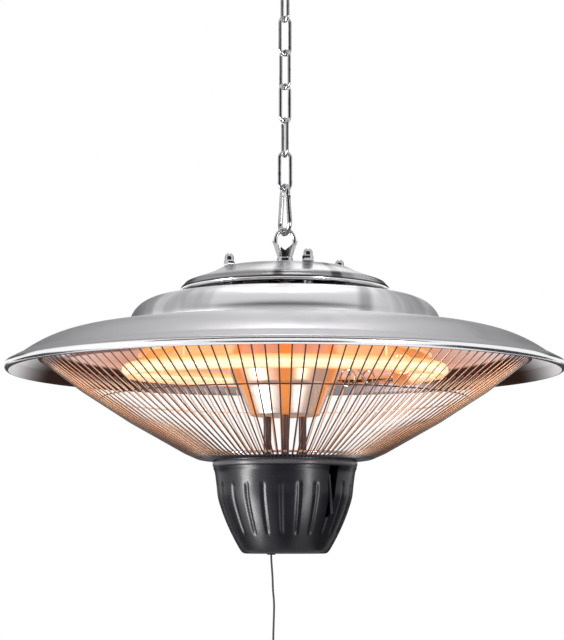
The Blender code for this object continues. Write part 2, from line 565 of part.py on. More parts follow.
# Column under the reflector, and three posts down to the cup
column_top = reflector_top - (COLUMN_TOP_R - SHADE_HOLE_R) * CROWN_SLOPE - REFLECTOR_SHEET - 3 * GAP
column_low = CAP_Z - COLUMN_H
column_outer = [(COLUMN_TOP_R, column_top)] + [(r * COLUMN_R, CAP_Z - z * COLUMN_H) for r, z in COLUMN_SHARES]
column_outer.append((COLUMN_HOLE_R, column_low))
column = lathe("central_column", column_outer + list(reversed(inside(column_outer, COLUMN_SHEET))), CUP_STEPS)
posts = [tuple(around(POST_CIRCLE, turn).xy) for turn in POST_TURNS]
cutters = [drill(f"column_way_{n}", POST_END_R, column_low - CUT_OVER, column_low + 2 * CUT_OVER, spot)
           for n, spot in enumerate(posts)]
node(cut(column, *cutters), "aluminium", HEATER_AT)
for n, spot in enumerate(posts):
    high, low = column_low - GAP, COVER_Z + GAP
    node(lathe(f"support_post_{n + 1}",
               ((0, high + POST_END), (POST_END_R, high + POST_END), (POST_END_R, high), (POST_R, high),
                (POST_R, low), (POST_END_R, low), (POST_END_R, low - POST_END), (0, low - POST_END)),
               SMALL_STEPS, spot, closed=False), "brown", HEATER_AT)

# Wire guard: radial wires welded to a top ring and to an inner ring under the cup's cover
weld_r = CUP_R - WELD_INSET
profile = [(weld_r + r * (GUARD_R - weld_r), CAP_Z - GUARD_DROP - z * GUARD_H) for r, z in GUARD_SHARES]


def hoop(name, radius, z, wire_r, steps, round_steps=0):
    return wire(name, [[around(radius, 360 * i / steps, z) for i in range(steps)]], wire_r, True, round_steps)


guard = hoop("wire_guard", *profile[0], GUARD_RING_R, FINE_STEPS, 1)
wires = wire("guard_wires", [[around(r, 360 * (n + 0.5) / GUARD_WIRES, z) for r, z in profile]
                             for n in range(GUARD_WIRES)], GUARD_WIRE_R, round_steps=0)
weld_z = profile[-1][1]
inner_ring = pipe("guard_inner_ring", weld_r + WELD_RING_OUT, weld_r - WELD_RING_IN, weld_z - WELD_RING_DOWN,
                  weld_z + WELD_RING_UP, steps=CUP_STEPS)
node(join(guard, wires, inner_ring), "steel", HEATER_AT)


def beside(run, share, side, ring_r):
    """Where a ring of that wire rests against the guard's wires, at a share of one of their runs."""
    (r0, z0), (r1, z1) = profile[run], profile[run + 1]
    along = Vector((r1 - r0, z1 - z0)).normalized()
    off = Vector((-along.y, along.x)) * side * (GUARD_WIRE_R + ring_r + GAP)
    ring = r0 + (r1 - r0) * share + off.x
    if side > 0:
        ring /= math.cos(math.pi / LATHE_STEPS)  # an outer ring's flats lie closer in than its corners
    return ring, z0 + (z1 - z0) * share + off.y


mid_ring, low_ring = beside(0, MID_RING_SHARE, -1, MID_RING_R), beside(1, LOW_RING_SHARE, -1, LOW_RING_R)
node(hoop("guard_mid_ring", *mid_ring, MID_RING_R, LATHE_STEPS), "steel", HEATER_AT)
node(hoop("guard_bottom_ring", *low_ring, LOW_RING_R, LATHE_STEPS), "chrome", HEATER_AT)
for n, turn in enumerate(BRACKET_TURNS):
    foot = profile[0][1] + GUARD_RING_R + GAP
    spot = around(profile[0][0], turn, foot + BRACKET_H / 2)
    node(box(f"guard_bracket_{n + 1}", (BRACKET_W, BRACKET_L, BRACKET_H), spot, yaw(turn)), "zinc", HEATER_AT)

# Cup: a flat cover, then the housing with its tapered slot
cover = pipe("cup_cover", CUP_R, COVER_HOLE_R, COVER_Z - COVER_T, COVER_Z, steps=CUP_STEPS)
cutters = [drill(f"cover_way_{n}", POST_END_R, COVER_Z - COVER_T - CUT_OVER, COVER_Z + CUT_OVER, spot)
           for n, spot in enumerate(posts)]
node(cut(cover, *cutters), "charcoal", HEATER_AT)

cup_outer = [(r * CUP_R, CUP_Z - z * CUP_H) for r, z in CUP_SHARES]
cup_inner = [(max(r - CUP_SHEET, 0), max(z, CUP_LOW_Z + CUP_SHEET)) for r, z in cup_outer[:-2]]
cup = lathe("cup_housing", [(0, CUP_LOW_Z + CUP_SHEET)] + list(reversed(cup_inner)) + cup_outer + [(0, CUP_LOW_Z)],
            CUP_STEPS, closed=False)
slot_outline = ((-SLOT_TOP_W / 2, -SLOT_TOP), (SLOT_TOP_W / 2, -SLOT_TOP),
                (SLOT_TOP_W / 2, -SLOT_LOW), (SLOT_TOP_W / 2 - SLOT_LOW_W, -SLOT_LOW))
slot_at = around(CUP_R, SLOT_TURN, CUP_Z)
slot = prism("cup_slot", slot_outline, CUP_R, Matrix.Translation(slot_at) @ yaw(SLOT_TURN + 90))
cord_way = drill("cord_way", BUSH_R, CUP_LOW_Z - CUT_OVER, CUP_LOW_Z + CUP_SHEET + CUT_OVER, CORD_AT)
node(cut(cup, slot, cord_way), "charcoal", HEATER_AT)

bush_top = CUP_LOW_Z + CUP_SHEET + BUSH_UP
bush_low = CUP_LOW_Z - GAP
node(lathe("cord_bushing",
           ((BUSH_R, bush_top), (BUSH_R, bush_low), (BUSH_FLANGE_R, bush_low),
            (BUSH_FLANGE_R, bush_low - BUSH_FLANGE_T), (BUSH_BORE, bush_low - BUSH_FLANGE_T), (BUSH_BORE, bush_top)),
           SMALL_STEPS, CORD_AT), "black", HEATER_AT)

switch_low = CUP_LOW_Z + SWITCH_UP
node(box("pull_switch", (SWITCH_L, SWITCH_W, SWITCH_H), (*CORD_AT, switch_low + SWITCH_H / 2)),
     "cream", HEATER_AT)
plunger_top = switch_low - GAP
PULL_AT = (*CORD_AT, plunger_top)
node(rod("switch_plunger", PLUNGER_R, plunger_top - PLUNGER_H, plunger_top, CORD_AT), "ceramic", PULL_AT)

# Cord and knob: they move down with the plunger
cord_top = plunger_top - PLUNGER_H - GAP
steps = round(CORD_LONG / CORD_STEP)


def sway(down):
    """How far the cord hangs to one side at a share of its length."""
    for (d0, x0), (d1, x1) in zip(((0, 0),) + SWAY_SHARES, SWAY_SHARES):
        if down <= d1:
            share = (down - d0) / (d1 - d0)
            return CORD_SWAY * (x0 + (x1 - x0) * share * share * (3 - 2 * share))
    return CORD_SWAY * SWAY_SHARES[-1][1]


cord_path = [Vector((CORD_AT[0] + sway(i / steps), CORD_AT[1], cord_top - CORD_LONG * i / steps))
             for i in range(steps + 1)]
node(wire("pull_cord", [cord_path], CORD_R), "black", PULL_AT)
knob_top = cord_top - CORD_LONG - GAP
knob_at = (CORD_AT[0] + sway(1), CORD_AT[1])
knob = [(0, knob_top)] + [(r * KNOB_R, knob_top - z * KNOB_L) for r, z in KNOB_SHARES]
node(lathe("pull_knob", knob + [(0, knob_top - KNOB_L)], SMALL_STEPS, knob_at, closed=False), "black", PULL_AT)

# Terminal block and cable gland
block_low = SHADE_Z - (abs(BLOCK_AT[0]) - BLOCK_L / 2 - SHADE_HOLE_R) * CROWN_SLOPE + GAP
node(box("terminal_block", (BLOCK_L, BLOCK_W, BLOCK_H), (*BLOCK_AT, block_low + BLOCK_H / 2)), "cream", HEATER_AT)
gland_low = CAP_Z + GAP
gland = rod("cable_gland", GLAND_R, gland_low, gland_low + GLAND_H, gland_at, 6, GLAND_TURN)
gland = join(gland, rod("gland_neck", GLAND_NECK_R, CAP_Z - GLAND_NECK, gland_low + GAP, gland_at))
node(cut(gland, drill("gland_bore", GLAND_BORE, CAP_Z - GLAND_NECK - CUT_OVER, gland_low + GLAND_H + CUT_OVER, gland_at)),
     "black", HEATER_AT)
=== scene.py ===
# %% [markdown]
# # A hanging patio heater, dressed in Blender
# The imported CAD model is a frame: every body and joint is already in its place, in metres. This
# lesson gives each piece of the heater its real form and finish, one piece at a time, and lets it
# ride on the body it belongs to. The heater hangs on a chain: a spun aluminium shade, a glowing
# ring-shaped tube, a cone of wires, a fluted plastic cup and a pull cord.

import math

import bmesh
import bpy
from mathutils import Matrix, Vector


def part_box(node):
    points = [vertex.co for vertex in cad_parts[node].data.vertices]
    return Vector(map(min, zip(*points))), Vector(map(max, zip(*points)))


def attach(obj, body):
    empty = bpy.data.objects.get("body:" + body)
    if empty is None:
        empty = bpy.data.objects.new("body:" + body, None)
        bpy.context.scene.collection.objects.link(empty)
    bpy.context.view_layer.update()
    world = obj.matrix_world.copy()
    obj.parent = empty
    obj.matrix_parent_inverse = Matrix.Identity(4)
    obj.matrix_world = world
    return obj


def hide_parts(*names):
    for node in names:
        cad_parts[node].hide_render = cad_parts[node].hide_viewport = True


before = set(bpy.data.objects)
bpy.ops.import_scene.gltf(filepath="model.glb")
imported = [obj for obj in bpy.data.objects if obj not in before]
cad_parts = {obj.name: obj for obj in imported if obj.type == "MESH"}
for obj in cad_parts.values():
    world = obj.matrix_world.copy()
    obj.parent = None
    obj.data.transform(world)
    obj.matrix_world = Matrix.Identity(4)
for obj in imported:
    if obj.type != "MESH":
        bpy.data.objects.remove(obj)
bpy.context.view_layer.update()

# %% [markdown]
# The photographer stood about a metre and a half from the heater, with the eye a little below the
# cup. A long lens keeps the shade's ellipses flat. Most heights below are measured from that eye
# level, because that is how they were read off the photograph, and `level` takes them to the frame.

# %% Camera and eye level
EYE_LEVEL, EYE_AWAY, EYE_TILT = -0.4714, 1.5713, 3.973
LENS, LENS_SHIFT = 116.46, 0.16


def level(height):
    return EYE_LEVEL + height


camera_data = bpy.data.cameras.new("camera")
camera_data.sensor_width, camera_data.lens, camera_data.shift_y = 36, LENS, LENS_SHIFT
camera = bpy.data.objects.new("camera", camera_data)
camera.location = (-0.0023, -EYE_AWAY, level(-0.0005))
camera.rotation_euler = (math.radians(90 + EYE_TILT), 0, 0)
bpy.context.scene.collection.objects.link(camera)
bpy.context.scene.camera = camera
bpy.context.scene.view_settings.view_transform = "Standard"
print("camera", round(camera_data.lens, 1), "mm")

# %% [markdown]
# Node sheets are easier to read as sums than as boxes and noodles. `Signal` wraps one output of a
# node, and the usual signs on it add Math nodes. `Sheet` adds any other node: its type, the values
# or links of its sockets, then its settings. The same two classes write materials, the world and
# the geometry trees.

# %% Signals and sheets
class Signal:
    """What flows out of one socket: a number, a colour or a vector."""

    def __init__(self, sheet, socket):
        self.sheet, self.socket = sheet, socket

    def __add__(self, other):
        return self.sheet.maths("ADD", self, other)

    def __sub__(self, other):
        return self.sheet.maths("SUBTRACT", self, other)

    def __rsub__(self, other):
        return self.sheet.maths("SUBTRACT", other, self)

    def __mul__(self, other):
        return self.sheet.maths("MULTIPLY", self, other)

    def __truediv__(self, other):
        return self.sheet.maths("DIVIDE", self, other)

    def __rtruediv__(self, other):
        return self.sheet.maths("DIVIDE", other, self)

    def __pow__(self, other):
        return self.sheet.maths("POWER", self, other)

    def __neg__(self):
        return self * -1

    def __abs__(self):
        return self.sheet.maths("ABSOLUTE", self)

    def sine(self):
        return self.sheet.maths("SINE", self)

    def cosine(self):
        return self.sheet.maths("COSINE", self)

    def between(self, low, high):
        """A signal that runs from 0 to 1, spread from low to high."""
        return self * (high - low) + low

    def ramp_up(self, low, high):
        """0 at low, 1 at high, and smooth in between."""
        return self.sheet.add("ShaderNodeMapRange", (self, low, high), interpolation_type="SMOOTHSTEP")

    def rise(self, low, high):
        """The same ramp for a height, between two heights above the eye."""
        return self.ramp_up(level(low), level(high))


class Sheet:
    """A node tree that is written in Python."""

    def __init__(self, tree):
        self.tree = tree

    def plug(self, value, socket):
        """Links a signal to a socket, or types a plain value into it."""
        if isinstance(value, Signal):
            self.tree.links.new(value.socket, socket)
        else:
            socket.default_value = (*value, 1) if socket.type == "RGBA" else value

    def add(self, kind, values=(), out=0, **settings):
        node = self.tree.nodes.new(kind)
        for key, value in settings.items():
            setattr(node, key, value)
        for key, value in values.items() if isinstance(values, dict) else enumerate(values):
            self.plug(value, node.inputs[key])
        return Signal(self, node.outputs[out])

    def maths(self, operation, *values):
        return self.add("ShaderNodeMath", values, operation=operation)

    def split(self, vector):
        first = self.add("ShaderNodeSeparateXYZ", (vector,))
        return [Signal(self, socket) for socket in first.socket.node.outputs]

    def pack(self, x, y, z):
        return self.add("ShaderNodeCombineXYZ", (x, y, z))

    def mix(self, share, first, second):
        return self.add("ShaderNodeMix", {0: share, 6: first, 7: second}, out=2, data_type="RGBA")

    def place(self):
        return self.add("ShaderNodeTexCoord", out="Object")

    def noise(self, scale, detail=2.0, roughness=0.5, place=None):
        return self.add("ShaderNodeTexNoise", {"Vector": place or self.place(), "Scale": scale, "Detail": detail,
                                               "Roughness": roughness})


print("signals and sheets ready")

# %% [markdown]
# A finish is one Principled shader whose colour, roughness and bump come from patterns on Object
# coordinates, so the pattern stays put when the camera moves. Numbers that are the same all over
# are typed into the shader's own sockets. Turned pieces get their patterns from radius and angle.

# %% A helper that makes a finish
def finish(name, colour, metallic, roughness, bump=None, grain=1.0, depth=0.0002, **sockets):
    """Each value is plain, or a function that draws it on the sheet."""
    made = bpy.data.materials.new(name)
    made.use_nodes = True
    sheet = Sheet(made.node_tree)
    if bump:
        sockets["Normal"] = sheet.add("ShaderNodeBump", {"Height": bump(sheet), "Strength": grain, "Distance": depth})
    shader = made.node_tree.nodes["Principled BSDF"]
    for label, value in {"Base_Color": colour, "Metallic": metallic, "Roughness": roughness, **sockets}.items():
        sheet.plug(value(sheet) if callable(value) else value, shader.inputs[label.replace("_", " ")])
    return made


def turned_place(sheet):
    """Radius, angle from the front and height about the heater's axis."""
    x, y, z = sheet.split(sheet.place())
    return (x * x + y * y) ** 0.5, sheet.maths("ARCTAN2", x, -y), z


def turning_lines(sheet, fine=2600.0):
    """The fine rings that a spinning tool leaves: noise drawn out along the turn."""
    radius, angle, z = turned_place(sheet)
    return sheet.noise(1.0, 3.0, 0.6, sheet.pack(radius * fine, angle * 1.6, z * fine))


def mottled(scale, first, second, detail=2.0):
    """Two colours, mixed by a plain noise."""
    return lambda sheet: sheet.mix(sheet.noise(scale, detail), first, second)


def dents(scale):
    return lambda sheet: sheet.noise(scale)


print("finish helper ready")

# %% [markdown]
# The shade and the cap are spun aluminium. A tool that presses the turning sheet leaves rings, and
# they spread each highlight across the rings. The shader's Anisotropic does the spreading; the rings
# themselves are a noise drawn out along the turn. Reflections are painted into the colour: the large
# dark ones seen on the real heater, lighter and darker sectors, a darker cap and lower tier and a
# lighter upper tier. The rolled edge is smoother, and its brightness is partly a painted highlight.

# %% Aluminium finishes
def off_streak(angle, radius, turn, start, core):
    """0 on a dark reflection that slants across the turned sheet, 1 beside it."""
    return abs(angle - turn + (radius - start) * 4.2).ramp_up(core, 0.075)


def brushed_colour(sheet):
    """The cap in the middle, then the upper and the lower tier, with painted reflections: the cap and the lower tier
    darker, the upper tier lighter.
    """
    radius, angle, z = turned_place(sheet)
    lines = turning_lines(sheet)
    outer_tier = radius.ramp_up(0.118, 0.150)
    upper = sheet.mix(lines, (0.57, 0.561, 0.577), (0.73, 0.721, 0.737))
    lower = sheet.mix(lines, (0.28, 0.274, 0.286), (0.375, 0.368, 0.382))
    # Painted reflections: lighter and darker sectors round the axis.
    sector_reflection_grey = sheet.mix(outer_tier, (0.36, 0.353, 0.366), (0.26, 0.254, 0.265))
    sector_reflections = sheet.noise(1.0, 4.0, 0.62, sheet.pack(angle * 1.5, radius * 6.0, 3.7)).ramp_up(0.36, 0.50)
    tiers = sheet.mix(sector_reflections, sector_reflection_grey, sheet.mix(outer_tier, upper, lower))
    clear = sheet.maths("MAXIMUM", off_streak(angle, radius, 0.60, 0.0965, 0.015), radius.ramp_up(0.118, 0.121))
    tiers = sheet.mix(clear, (0.37, 0.363, 0.377), tiers)
    # A painted highlight: the cap is lighter on its right side.
    right_side_highlight = angle.ramp_up(0.66, 0.74) * angle.ramp_up(1.7, 1.2)
    cap = sheet.mix(lines, (0.205, 0.200, 0.210), (0.275, 0.269, 0.281))
    cap = sheet.mix(right_side_highlight, cap, (0.38, 0.372, 0.388))
    # Painted dark reflections on the cap: a line below the eye nut and a slanting streak.
    off_nut = abs(angle + 0.07).ramp_up(0.015, 0.075)
    flat_top = 1 - radius.ramp_up(0.049, 0.052)
    clear = sheet.maths("MAXIMUM", off_streak(angle, radius, 0.58, 0.06, 0.035) * off_nut, flat_top)
    cap = sheet.mix(clear, (0.045, 0.044, 0.047), cap)
    # The groove mask is a painted dark reflection line round the rolled edge, not a cut in the sheet.
    groove = z.rise(0.2091, 0.2096) * (1 - z.rise(0.2103, 0.2110)) * radius.ramp_up(0.0762, 0.0770)
    cap = sheet.mix(groove, cap, (0.07, 0.068, 0.072))
    return sheet.mix(radius.ramp_up(0.0800, 0.0810), cap, tiers)


def brushed_roughness(sheet):
    radius, angle, z = turned_place(sheet)
    return turning_lines(sheet).between(0.16, 0.30) + radius.ramp_up(0.078, 0.095) * 0.14


def lit_inside(sheet):
    """Painted light and reflections: orange glow by the reflector, tan further out, pale at the sides; the rim painted
    grey, brown and black.
    """
    radius, angle, z = turned_place(sheet)
    front = angle.cosine()
    off_side = abs(front)
    tan = sheet.mix(turning_lines(sheet, 900), (0.46, 0.21, 0.14), (0.60, 0.32, 0.23))
    outer = sheet.mix(off_side.ramp_up(0.75, 0.30), tan, (0.66, 0.53, 0.51))
    warm = sheet.mix(radius.ramp_up(0.138, 0.170), (0.72, 0.30, 0.11), outer)
    # A painted dark reflection patch under the bead at the left back.
    under_bead = 1 - (radius + off_side * 0.095).ramp_up(0.2205, 0.2235)
    left_back = (-angle).ramp_up(1.88, 1.98) * off_side.ramp_up(0.68, 0.58)
    warm = sheet.mix(under_bead * left_back, warm, (0.17, 0.09, 0.078))
    # Painted reflections and shade on the rim: grey at the front, near black towards the back, orange then dark grey at
    # the very back.
    dark = sheet.mix(front.ramp_up(-0.40, 0.02), (0.018, 0.0075, 0.005), (0.55, 0.54, 0.55))
    behind = sheet.mix(radius.ramp_up(0.2030, 0.2045), (0.50, 0.17, 0.06), (0.12, 0.108, 0.112))
    rim = sheet.mix((-front).ramp_up(0.76, 0.88), dark, behind)
    return sheet.mix((radius + front * 0.012).ramp_up(0.1815, 0.1850), warm, rim)


brushed = finish("brushed_aluminium", brushed_colour, 1.0, brushed_roughness,
                 bump=turning_lines, grain=0.22, depth=0.0001, Anisotropic=0.55)
# The rolled edges are smoother, and their paler colour is partly a painted highlight.
polished_and_highlit_edge = finish("polished_and_highlit_edge", lambda s: s.mix(turning_lines(s), (0.86, 0.85, 0.865), (0.95, 0.94, 0.955)),
                       1.0, lambda s: turning_lines(s).between(0.12, 0.22), bump=turning_lines, grain=0.1, depth=0.0001)
# The shade's inside glows with this painted light, though it is no lamp.
inner_sheet = finish("shade_inside", lit_inside, 1.0, lambda s: turning_lines(s, 900).between(0.30, 0.50),
                     bump=turning_lines, grain=0.2, Emission_Color=lit_inside, Emission_Strength=0.9)
print("aluminium finishes", brushed.name, polished_and_highlit_edge.name, inner_sheet.name)

# %% [markdown]
# The chain, hook and nuts are plated. Plate is never quite even: a slow noise moves its colour and
# its roughness, and a finer one dents it. The guard wires have a duller nickel, with the tube's light
# painted on the faces that look at it and painted shade on the outer faces.

# %% Plated finishes
def sheen(low, high):
    return lambda sheet: sheet.noise(160.0, 3.0).between(low, high)


def plated(name, light, dark, low, high, scale, grain):
    return finish(name, lambda s: s.mix(s.noise(210.0, 4.0).ramp_up(0.48, 0.72), light, dark), 1.0,
                  sheen(low, high), bump=dents(scale), grain=grain)


def wire_face(sheet):
    """A wire's height, and whether its face looks towards the axis (-1) or away from it (1)."""
    x, y, z = sheet.split(sheet.place())
    facing_x, facing_y, facing_z = sheet.split(sheet.add("ShaderNodeTexCoord", out="Normal"))
    return z, (facing_x * x + facing_y * y) / ((x * x + y * y) ** 0.5)


def wire_colour(sheet):
    """Painted light and shade: copper where the wire faces the tube, brown outside, and charcoal on the flat by the
    cup.
    """
    z, outward = wire_face(sheet)
    lit = sheet.mix(z.rise(0.085, 0.125), (0.56, 0.46, 0.36), (0.80, 0.71, 0.58))
    lit = sheet.mix(z.rise(0.146, 0.152), lit, (0.30, 0.285, 0.29))
    # Painted shade: the faces that look outward are dark brown.
    sides = sheet.mix(outward.ramp_up(-0.22, 0.35), lit, (0.055, 0.029, 0.023))
    # Painted shade: the wires above the tube, inside the shade, are near black.
    wires = sheet.mix(z.rise(0.1540, 0.1550), sides, (0.05, 0.022, 0.016))
    return sheet.mix(z.rise(0.0806, 0.0826), (0.06, 0.057, 0.062), wires)


def wire_glow(sheet):
    """The tube's light on the inner faces, between the cup and the tube."""
    z, outward = wire_face(sheet)
    near = z.rise(0.080, 0.120) * (1 - outward.ramp_up(-0.22, 0.40))
    return sheet.mix(near * (1 - z.rise(0.145, 0.151)), (0.0, 0.0, 0.0), (1.0, 0.82, 0.62))


chrome = plated("bright_chrome", (0.50, 0.491, 0.509), (0.27, 0.264, 0.277), 0.05, 0.14, 420, 0.12)
hook_chrome = plated("hook_chrome", (0.44, 0.432, 0.448), (0.20, 0.195, 0.206), 0.05, 0.14, 420, 0.12)
zinc = plated("zinc_plate", (0.52, 0.51, 0.53), (0.44, 0.432, 0.45), 0.20, 0.42, 600, 0.15)
nickel_wire = finish("nickel_wire", wire_colour, 0.8, sheen(0.3, 0.45), bump=dents(900), grain=0.1,
                     Emission_Color=wire_glow, Emission_Strength=0.12)
print("plated finishes", chrome.name, hook_chrome.name, zinc.name, nickel_wire.name)

# %% [markdown]
# The tube lights its own surroundings, and its light is also painted on them. The coil inside glows
# hard and orange, the clear quartz round it a soft cream, and the reflector behind them is bright
# sheet painted in the colour of the glow, with a painted glow of its own, as are the tube's clips
# and end holders and the column below the reflector.

# %% Hot finishes and painted glow
TUBE_HIGH, TUBE_LEAN = level(0.1476), math.radians(1.73)


# Painted glow on the reflector: dark round the column, orange further out, pale on the lip.
def glow_on_sheet(sheet):
    radius, angle, z = turned_place(sheet)
    reach = radius.ramp_up(0.05, 0.100) * sheet.noise(34.0, 3.0).between(0.6, 1.1)
    near = sheet.mix(reach, (0.16, 0.045, 0.01), (1.0, 0.32, 0.06))
    return sheet.mix(radius.ramp_up(0.1085, 0.1115), near, (1.0, 0.60, 0.25))


def quartz_glow(sheet):
    """Cream along the tube, warmer above its middle, orange at its edges, with small flecks."""
    x, y, z = sheet.split(sheet.place())
    above = z - y * math.tan(TUBE_LEAN) - TUBE_HIGH
    flecks = sheet.noise(520.0, 3.0, 0.7).ramp_up(0.30, 0.60)
    pale = sheet.mix(flecks, (1.0, 0.60, 0.28), (1.0, 0.84, 0.62))
    warmer = sheet.mix(above.ramp_up(0.0008, 0.0034), pale, (1.0, 0.64, 0.28))
    return sheet.mix(abs(above).ramp_up(0.0034, 0.0052), warmer, (1.0, 0.38, 0.10))


def column_stripe(sheet):
    """Height, and 1 on the six warm stripes of painted reflection, 0 on the pale painted reflections between."""
    radius, angle, z = turned_place(sheet)
    return z, (angle * 6.0).cosine().ramp_up(0.45, 0.9)


# Painted reflections on the column, with painted shade on its upper part.
def column_colour(sheet):
    z, stripe = column_stripe(sheet)
    pale = sheet.mix(turning_lines(sheet, 700), (0.78, 0.62, 0.54), (0.92, 0.80, 0.73))
    warm = sheet.mix(stripe, pale, (1.0, 0.36, 0.10))
    shaded = sheet.mix(stripe, (0.78, 0.40, 0.24), (0.74, 0.24, 0.07))
    return sheet.mix(z.rise(0.1345, 0.1385), warm, shaded)


# The reflector's orange colour and its glow are painted light from the tube.
reflector_sheet = finish(
    "reflector_sheet", lambda s: s.mix(turning_lines(s, 500), (0.82, 0.40, 0.18), (0.95, 0.56, 0.31)), 1.0,
    lambda s: turning_lines(s, 500).between(0.2, 0.4), bump=turning_lines, grain=0.15,
    Emission_Color=glow_on_sheet, Emission_Strength=0.6)
coil_glow = finish("coil_glow", (0.9, 0.5, 0.2), 0.0, 0.5, Emission_Color=(1.0, 0.52, 0.18), Emission_Strength=12.0)
quartz = finish("quartz_tube", (0.34, 0.24, 0.15), 0.0, 0.12, Emission_Color=quartz_glow, Emission_Strength=0.84,
                Alpha=0.88)
# The clip wire is painted with the tube's orange light and a painted glow.
clip_wire = finish("tube_lit_clip_wire", mottled(300.0, (0.75, 0.45, 0.28), (0.9, 0.66, 0.45)), 1.0, 0.3,
                   Emission_Color=(1.0, 0.62, 0.3), Emission_Strength=0.5)
lit_ceramic = mottled(300.0, (0.40, 0.13, 0.04), (0.72, 0.33, 0.13), 3.0)
end_ceramic = finish("end_ceramic", lit_ceramic, 0.0, 0.6, bump=dents(800), grain=0.2,
                     Emission_Color=lit_ceramic, Emission_Strength=0.45)
post_brown = finish("post_brown", mottled(120.0, (0.05, 0.022, 0.018), (0.12, 0.055, 0.045)), 0.35, 0.38,
                    bump=dents(700), grain=0.1)
# The column's stripes and panels also glow with painted light, though it is no lamp.
column_sheet = finish("column_sheet", column_colour, 1.0, lambda s: turning_lines(s, 700).between(0.24, 0.34),
                      Emission_Color=lambda s: s.mix(column_stripe(s)[1], (0.44, 0.35, 0.30), (1.0, 0.36, 0.10)),
                      Emission_Strength=0.52)
print("hot finishes", quartz.name, coil_glow.name)

# %% [markdown]
# The cup is moulded plastic with a spark-eroded grain: tiny soft pits, which a fine noise gives as
# bump, and slow clouds in the sheen. Its rim is paler, and towards its foot it is painted darker, as
# shade. The knob is the same plastic in black, the parts inside the cup and cap are cream, and the
# cord is braided.

# %% Plastic and cord finishes
def moulded(name, low, high, rough, band=None):
    """band is the colour of the cup's rim; other pieces have none."""
    def colour(sheet):
        body = mottled(45.0, low, high, 3.0)(sheet)
        if not band:
            return body
        x, y, z = sheet.split(sheet.place())
        # Painted shade: the body darkens towards the foot.
        body = sheet.mix(z.rise(0.008, 0.045), (0.004, 0.004, 0.005), body)
        return sheet.mix(z.rise(0.0745, 0.0755), body, band)
    return finish(name, colour, 0.0, lambda s: s.noise(70.0, 3.0).between(rough, rough + 0.14),
                  bump=lambda s: s.noise(1500.0, 2.0, 0.7), grain=0.12, depth=0.00015, Specular_IOR_Level=0.34)


charcoal = moulded("charcoal_plastic", (0.0045, 0.0043, 0.0068), (0.009, 0.0087, 0.012), 0.21, (0.055, 0.053, 0.060))
black = moulded("black_plastic", (0.008, 0.008, 0.009), (0.017, 0.017, 0.018), 0.34)
cream = moulded("cream_plastic", (0.62, 0.59, 0.52), (0.74, 0.71, 0.64), 0.4)


def braid(sheet):
    """Two sets of strands that cross on the cord, as waves up the cord and round it."""
    x, y, z = sheet.split(sheet.place())
    up, across = z * 5200.0, x * 2600.0
    return (up + across).sine() * (up - across).sine() * 0.5 + 0.5


cord_braid = finish("cord_braid", lambda s: s.mix(braid(s), (0.006, 0.006, 0.007), (0.035, 0.035, 0.038)),
                    0.0, 0.72, bump=braid, grain=0.6, depth=0.0001)
print("plastic finishes", charcoal.name, black.name, cream.name, cord_braid.name)

# %% [markdown]
# Most outlines are lists of (radius, height) points, measured in millimetres: `mm` takes them to
# metres, and `seen` does so for heights above the eye. `eased` puts a small round on every sharp corner
# of an outline, because real edges catch light, `flowing` draws a smooth line through a few measured
# points, `arc` and `ring_of` lay points on circles, and `inner_side` gives a sheet its thickness.

# %% Outline helpers
def around(radius, degrees, z=0.0):
    return Vector((radius * math.cos(math.radians(degrees)), radius * math.sin(math.radians(degrees)), z))


def mm(*points):
    """Outline points that were measured in millimetres."""
    return [(radius / 1000, height / 1000) for radius, height in points]


def seen(*points):
    """The same, with heights above the eye."""
    return [(radius, level(height)) for radius, height in mm(*points)]


def sweep(first, last, steps):
    return [first + (last - first) * i / steps for i in range(steps + 1)]


def arc(middle, wide, degrees, tall=None):
    """A point at each of the angles, on a circle or an upright ellipse."""
    return [(middle[0] + wide * math.cos(a), middle[1] + (tall or wide) * math.sin(a))
            for a in map(math.radians, degrees)]


def ring_of(radius, z, steps=144):
    return [around(radius, 360 * i / steps, z) for i in range(steps)]


def tube_outline(inner, outer, low, high):
    return [(inner, low), (outer, low), (outer, high), (inner, high)]


def flowing(points, steps=6):
    """A Catmull-Rom line through the points."""
    padded = [points[0]] + list(points) + [points[-1]]
    line = []
    for a, b, c, d in zip(padded, padded[1:], padded[2:], padded[3:]):
        for t in (i / steps for i in range(steps)):
            line.append(tuple(0.5 * (2 * q + (r - p) * t + (2 * p - 5 * q + 4 * r - s) * t * t
                                     + (3 * q - p - 3 * r + s) * t ** 3) for p, q, r, s in zip(a, b, c, d)))
    return line + [tuple(points[-1])]


def eased(outline, radius, closed=True, steps=3):
    """The outline with each corner sharper than 25 degrees cut round."""
    made, count = [], len(outline)
    for i, here in enumerate(outline):
        here = Vector(here)
        before, after = Vector(outline[i - 1]) - here, Vector(outline[(i + 1) % count]) - here
        end_point = not closed and i in (0, count - 1)
        if end_point or min(before.length, after.length) < 1e-7 or before.angle(-after) < math.radians(25):
            made.append(tuple(here))
            continue
        cut = min(radius, 0.45 * before.length, 0.45 * after.length)
        start, end = here + before.normalized() * cut, here + after.normalized() * cut
        made += [tuple(start * (1 - t) ** 2 + here * 2 * t * (1 - t) + end * t * t) for t in sweep(0, 1, steps)]
    return made


def inner_side(outer, wall):
    """The inner side of a sheet of that thickness, from the rim back to the hole."""
    inner = []
    for i, here in enumerate(outer):
        before, after = Vector(outer[max(i - 1, 0)]), Vector(outer[min(i + 1, len(outer) - 1)])
        run = (after - before).normalized()
        inner.append((max(here[0] + run.y * wall, 0.0005), here[1] - run.x * wall))
    return inner[::-1]


print("outline helpers ready")

# %% [markdown]
# Most of the heater is turned or bent. `spun` turns an outline about an axis, `bent` sweeps a round
# wire along a path, `prism` thickens a flat outline, and `cut_away` and `merged` combine meshes.
# `dress` gives a finished mesh its finish, its body and the CAD nodes that it stands for.

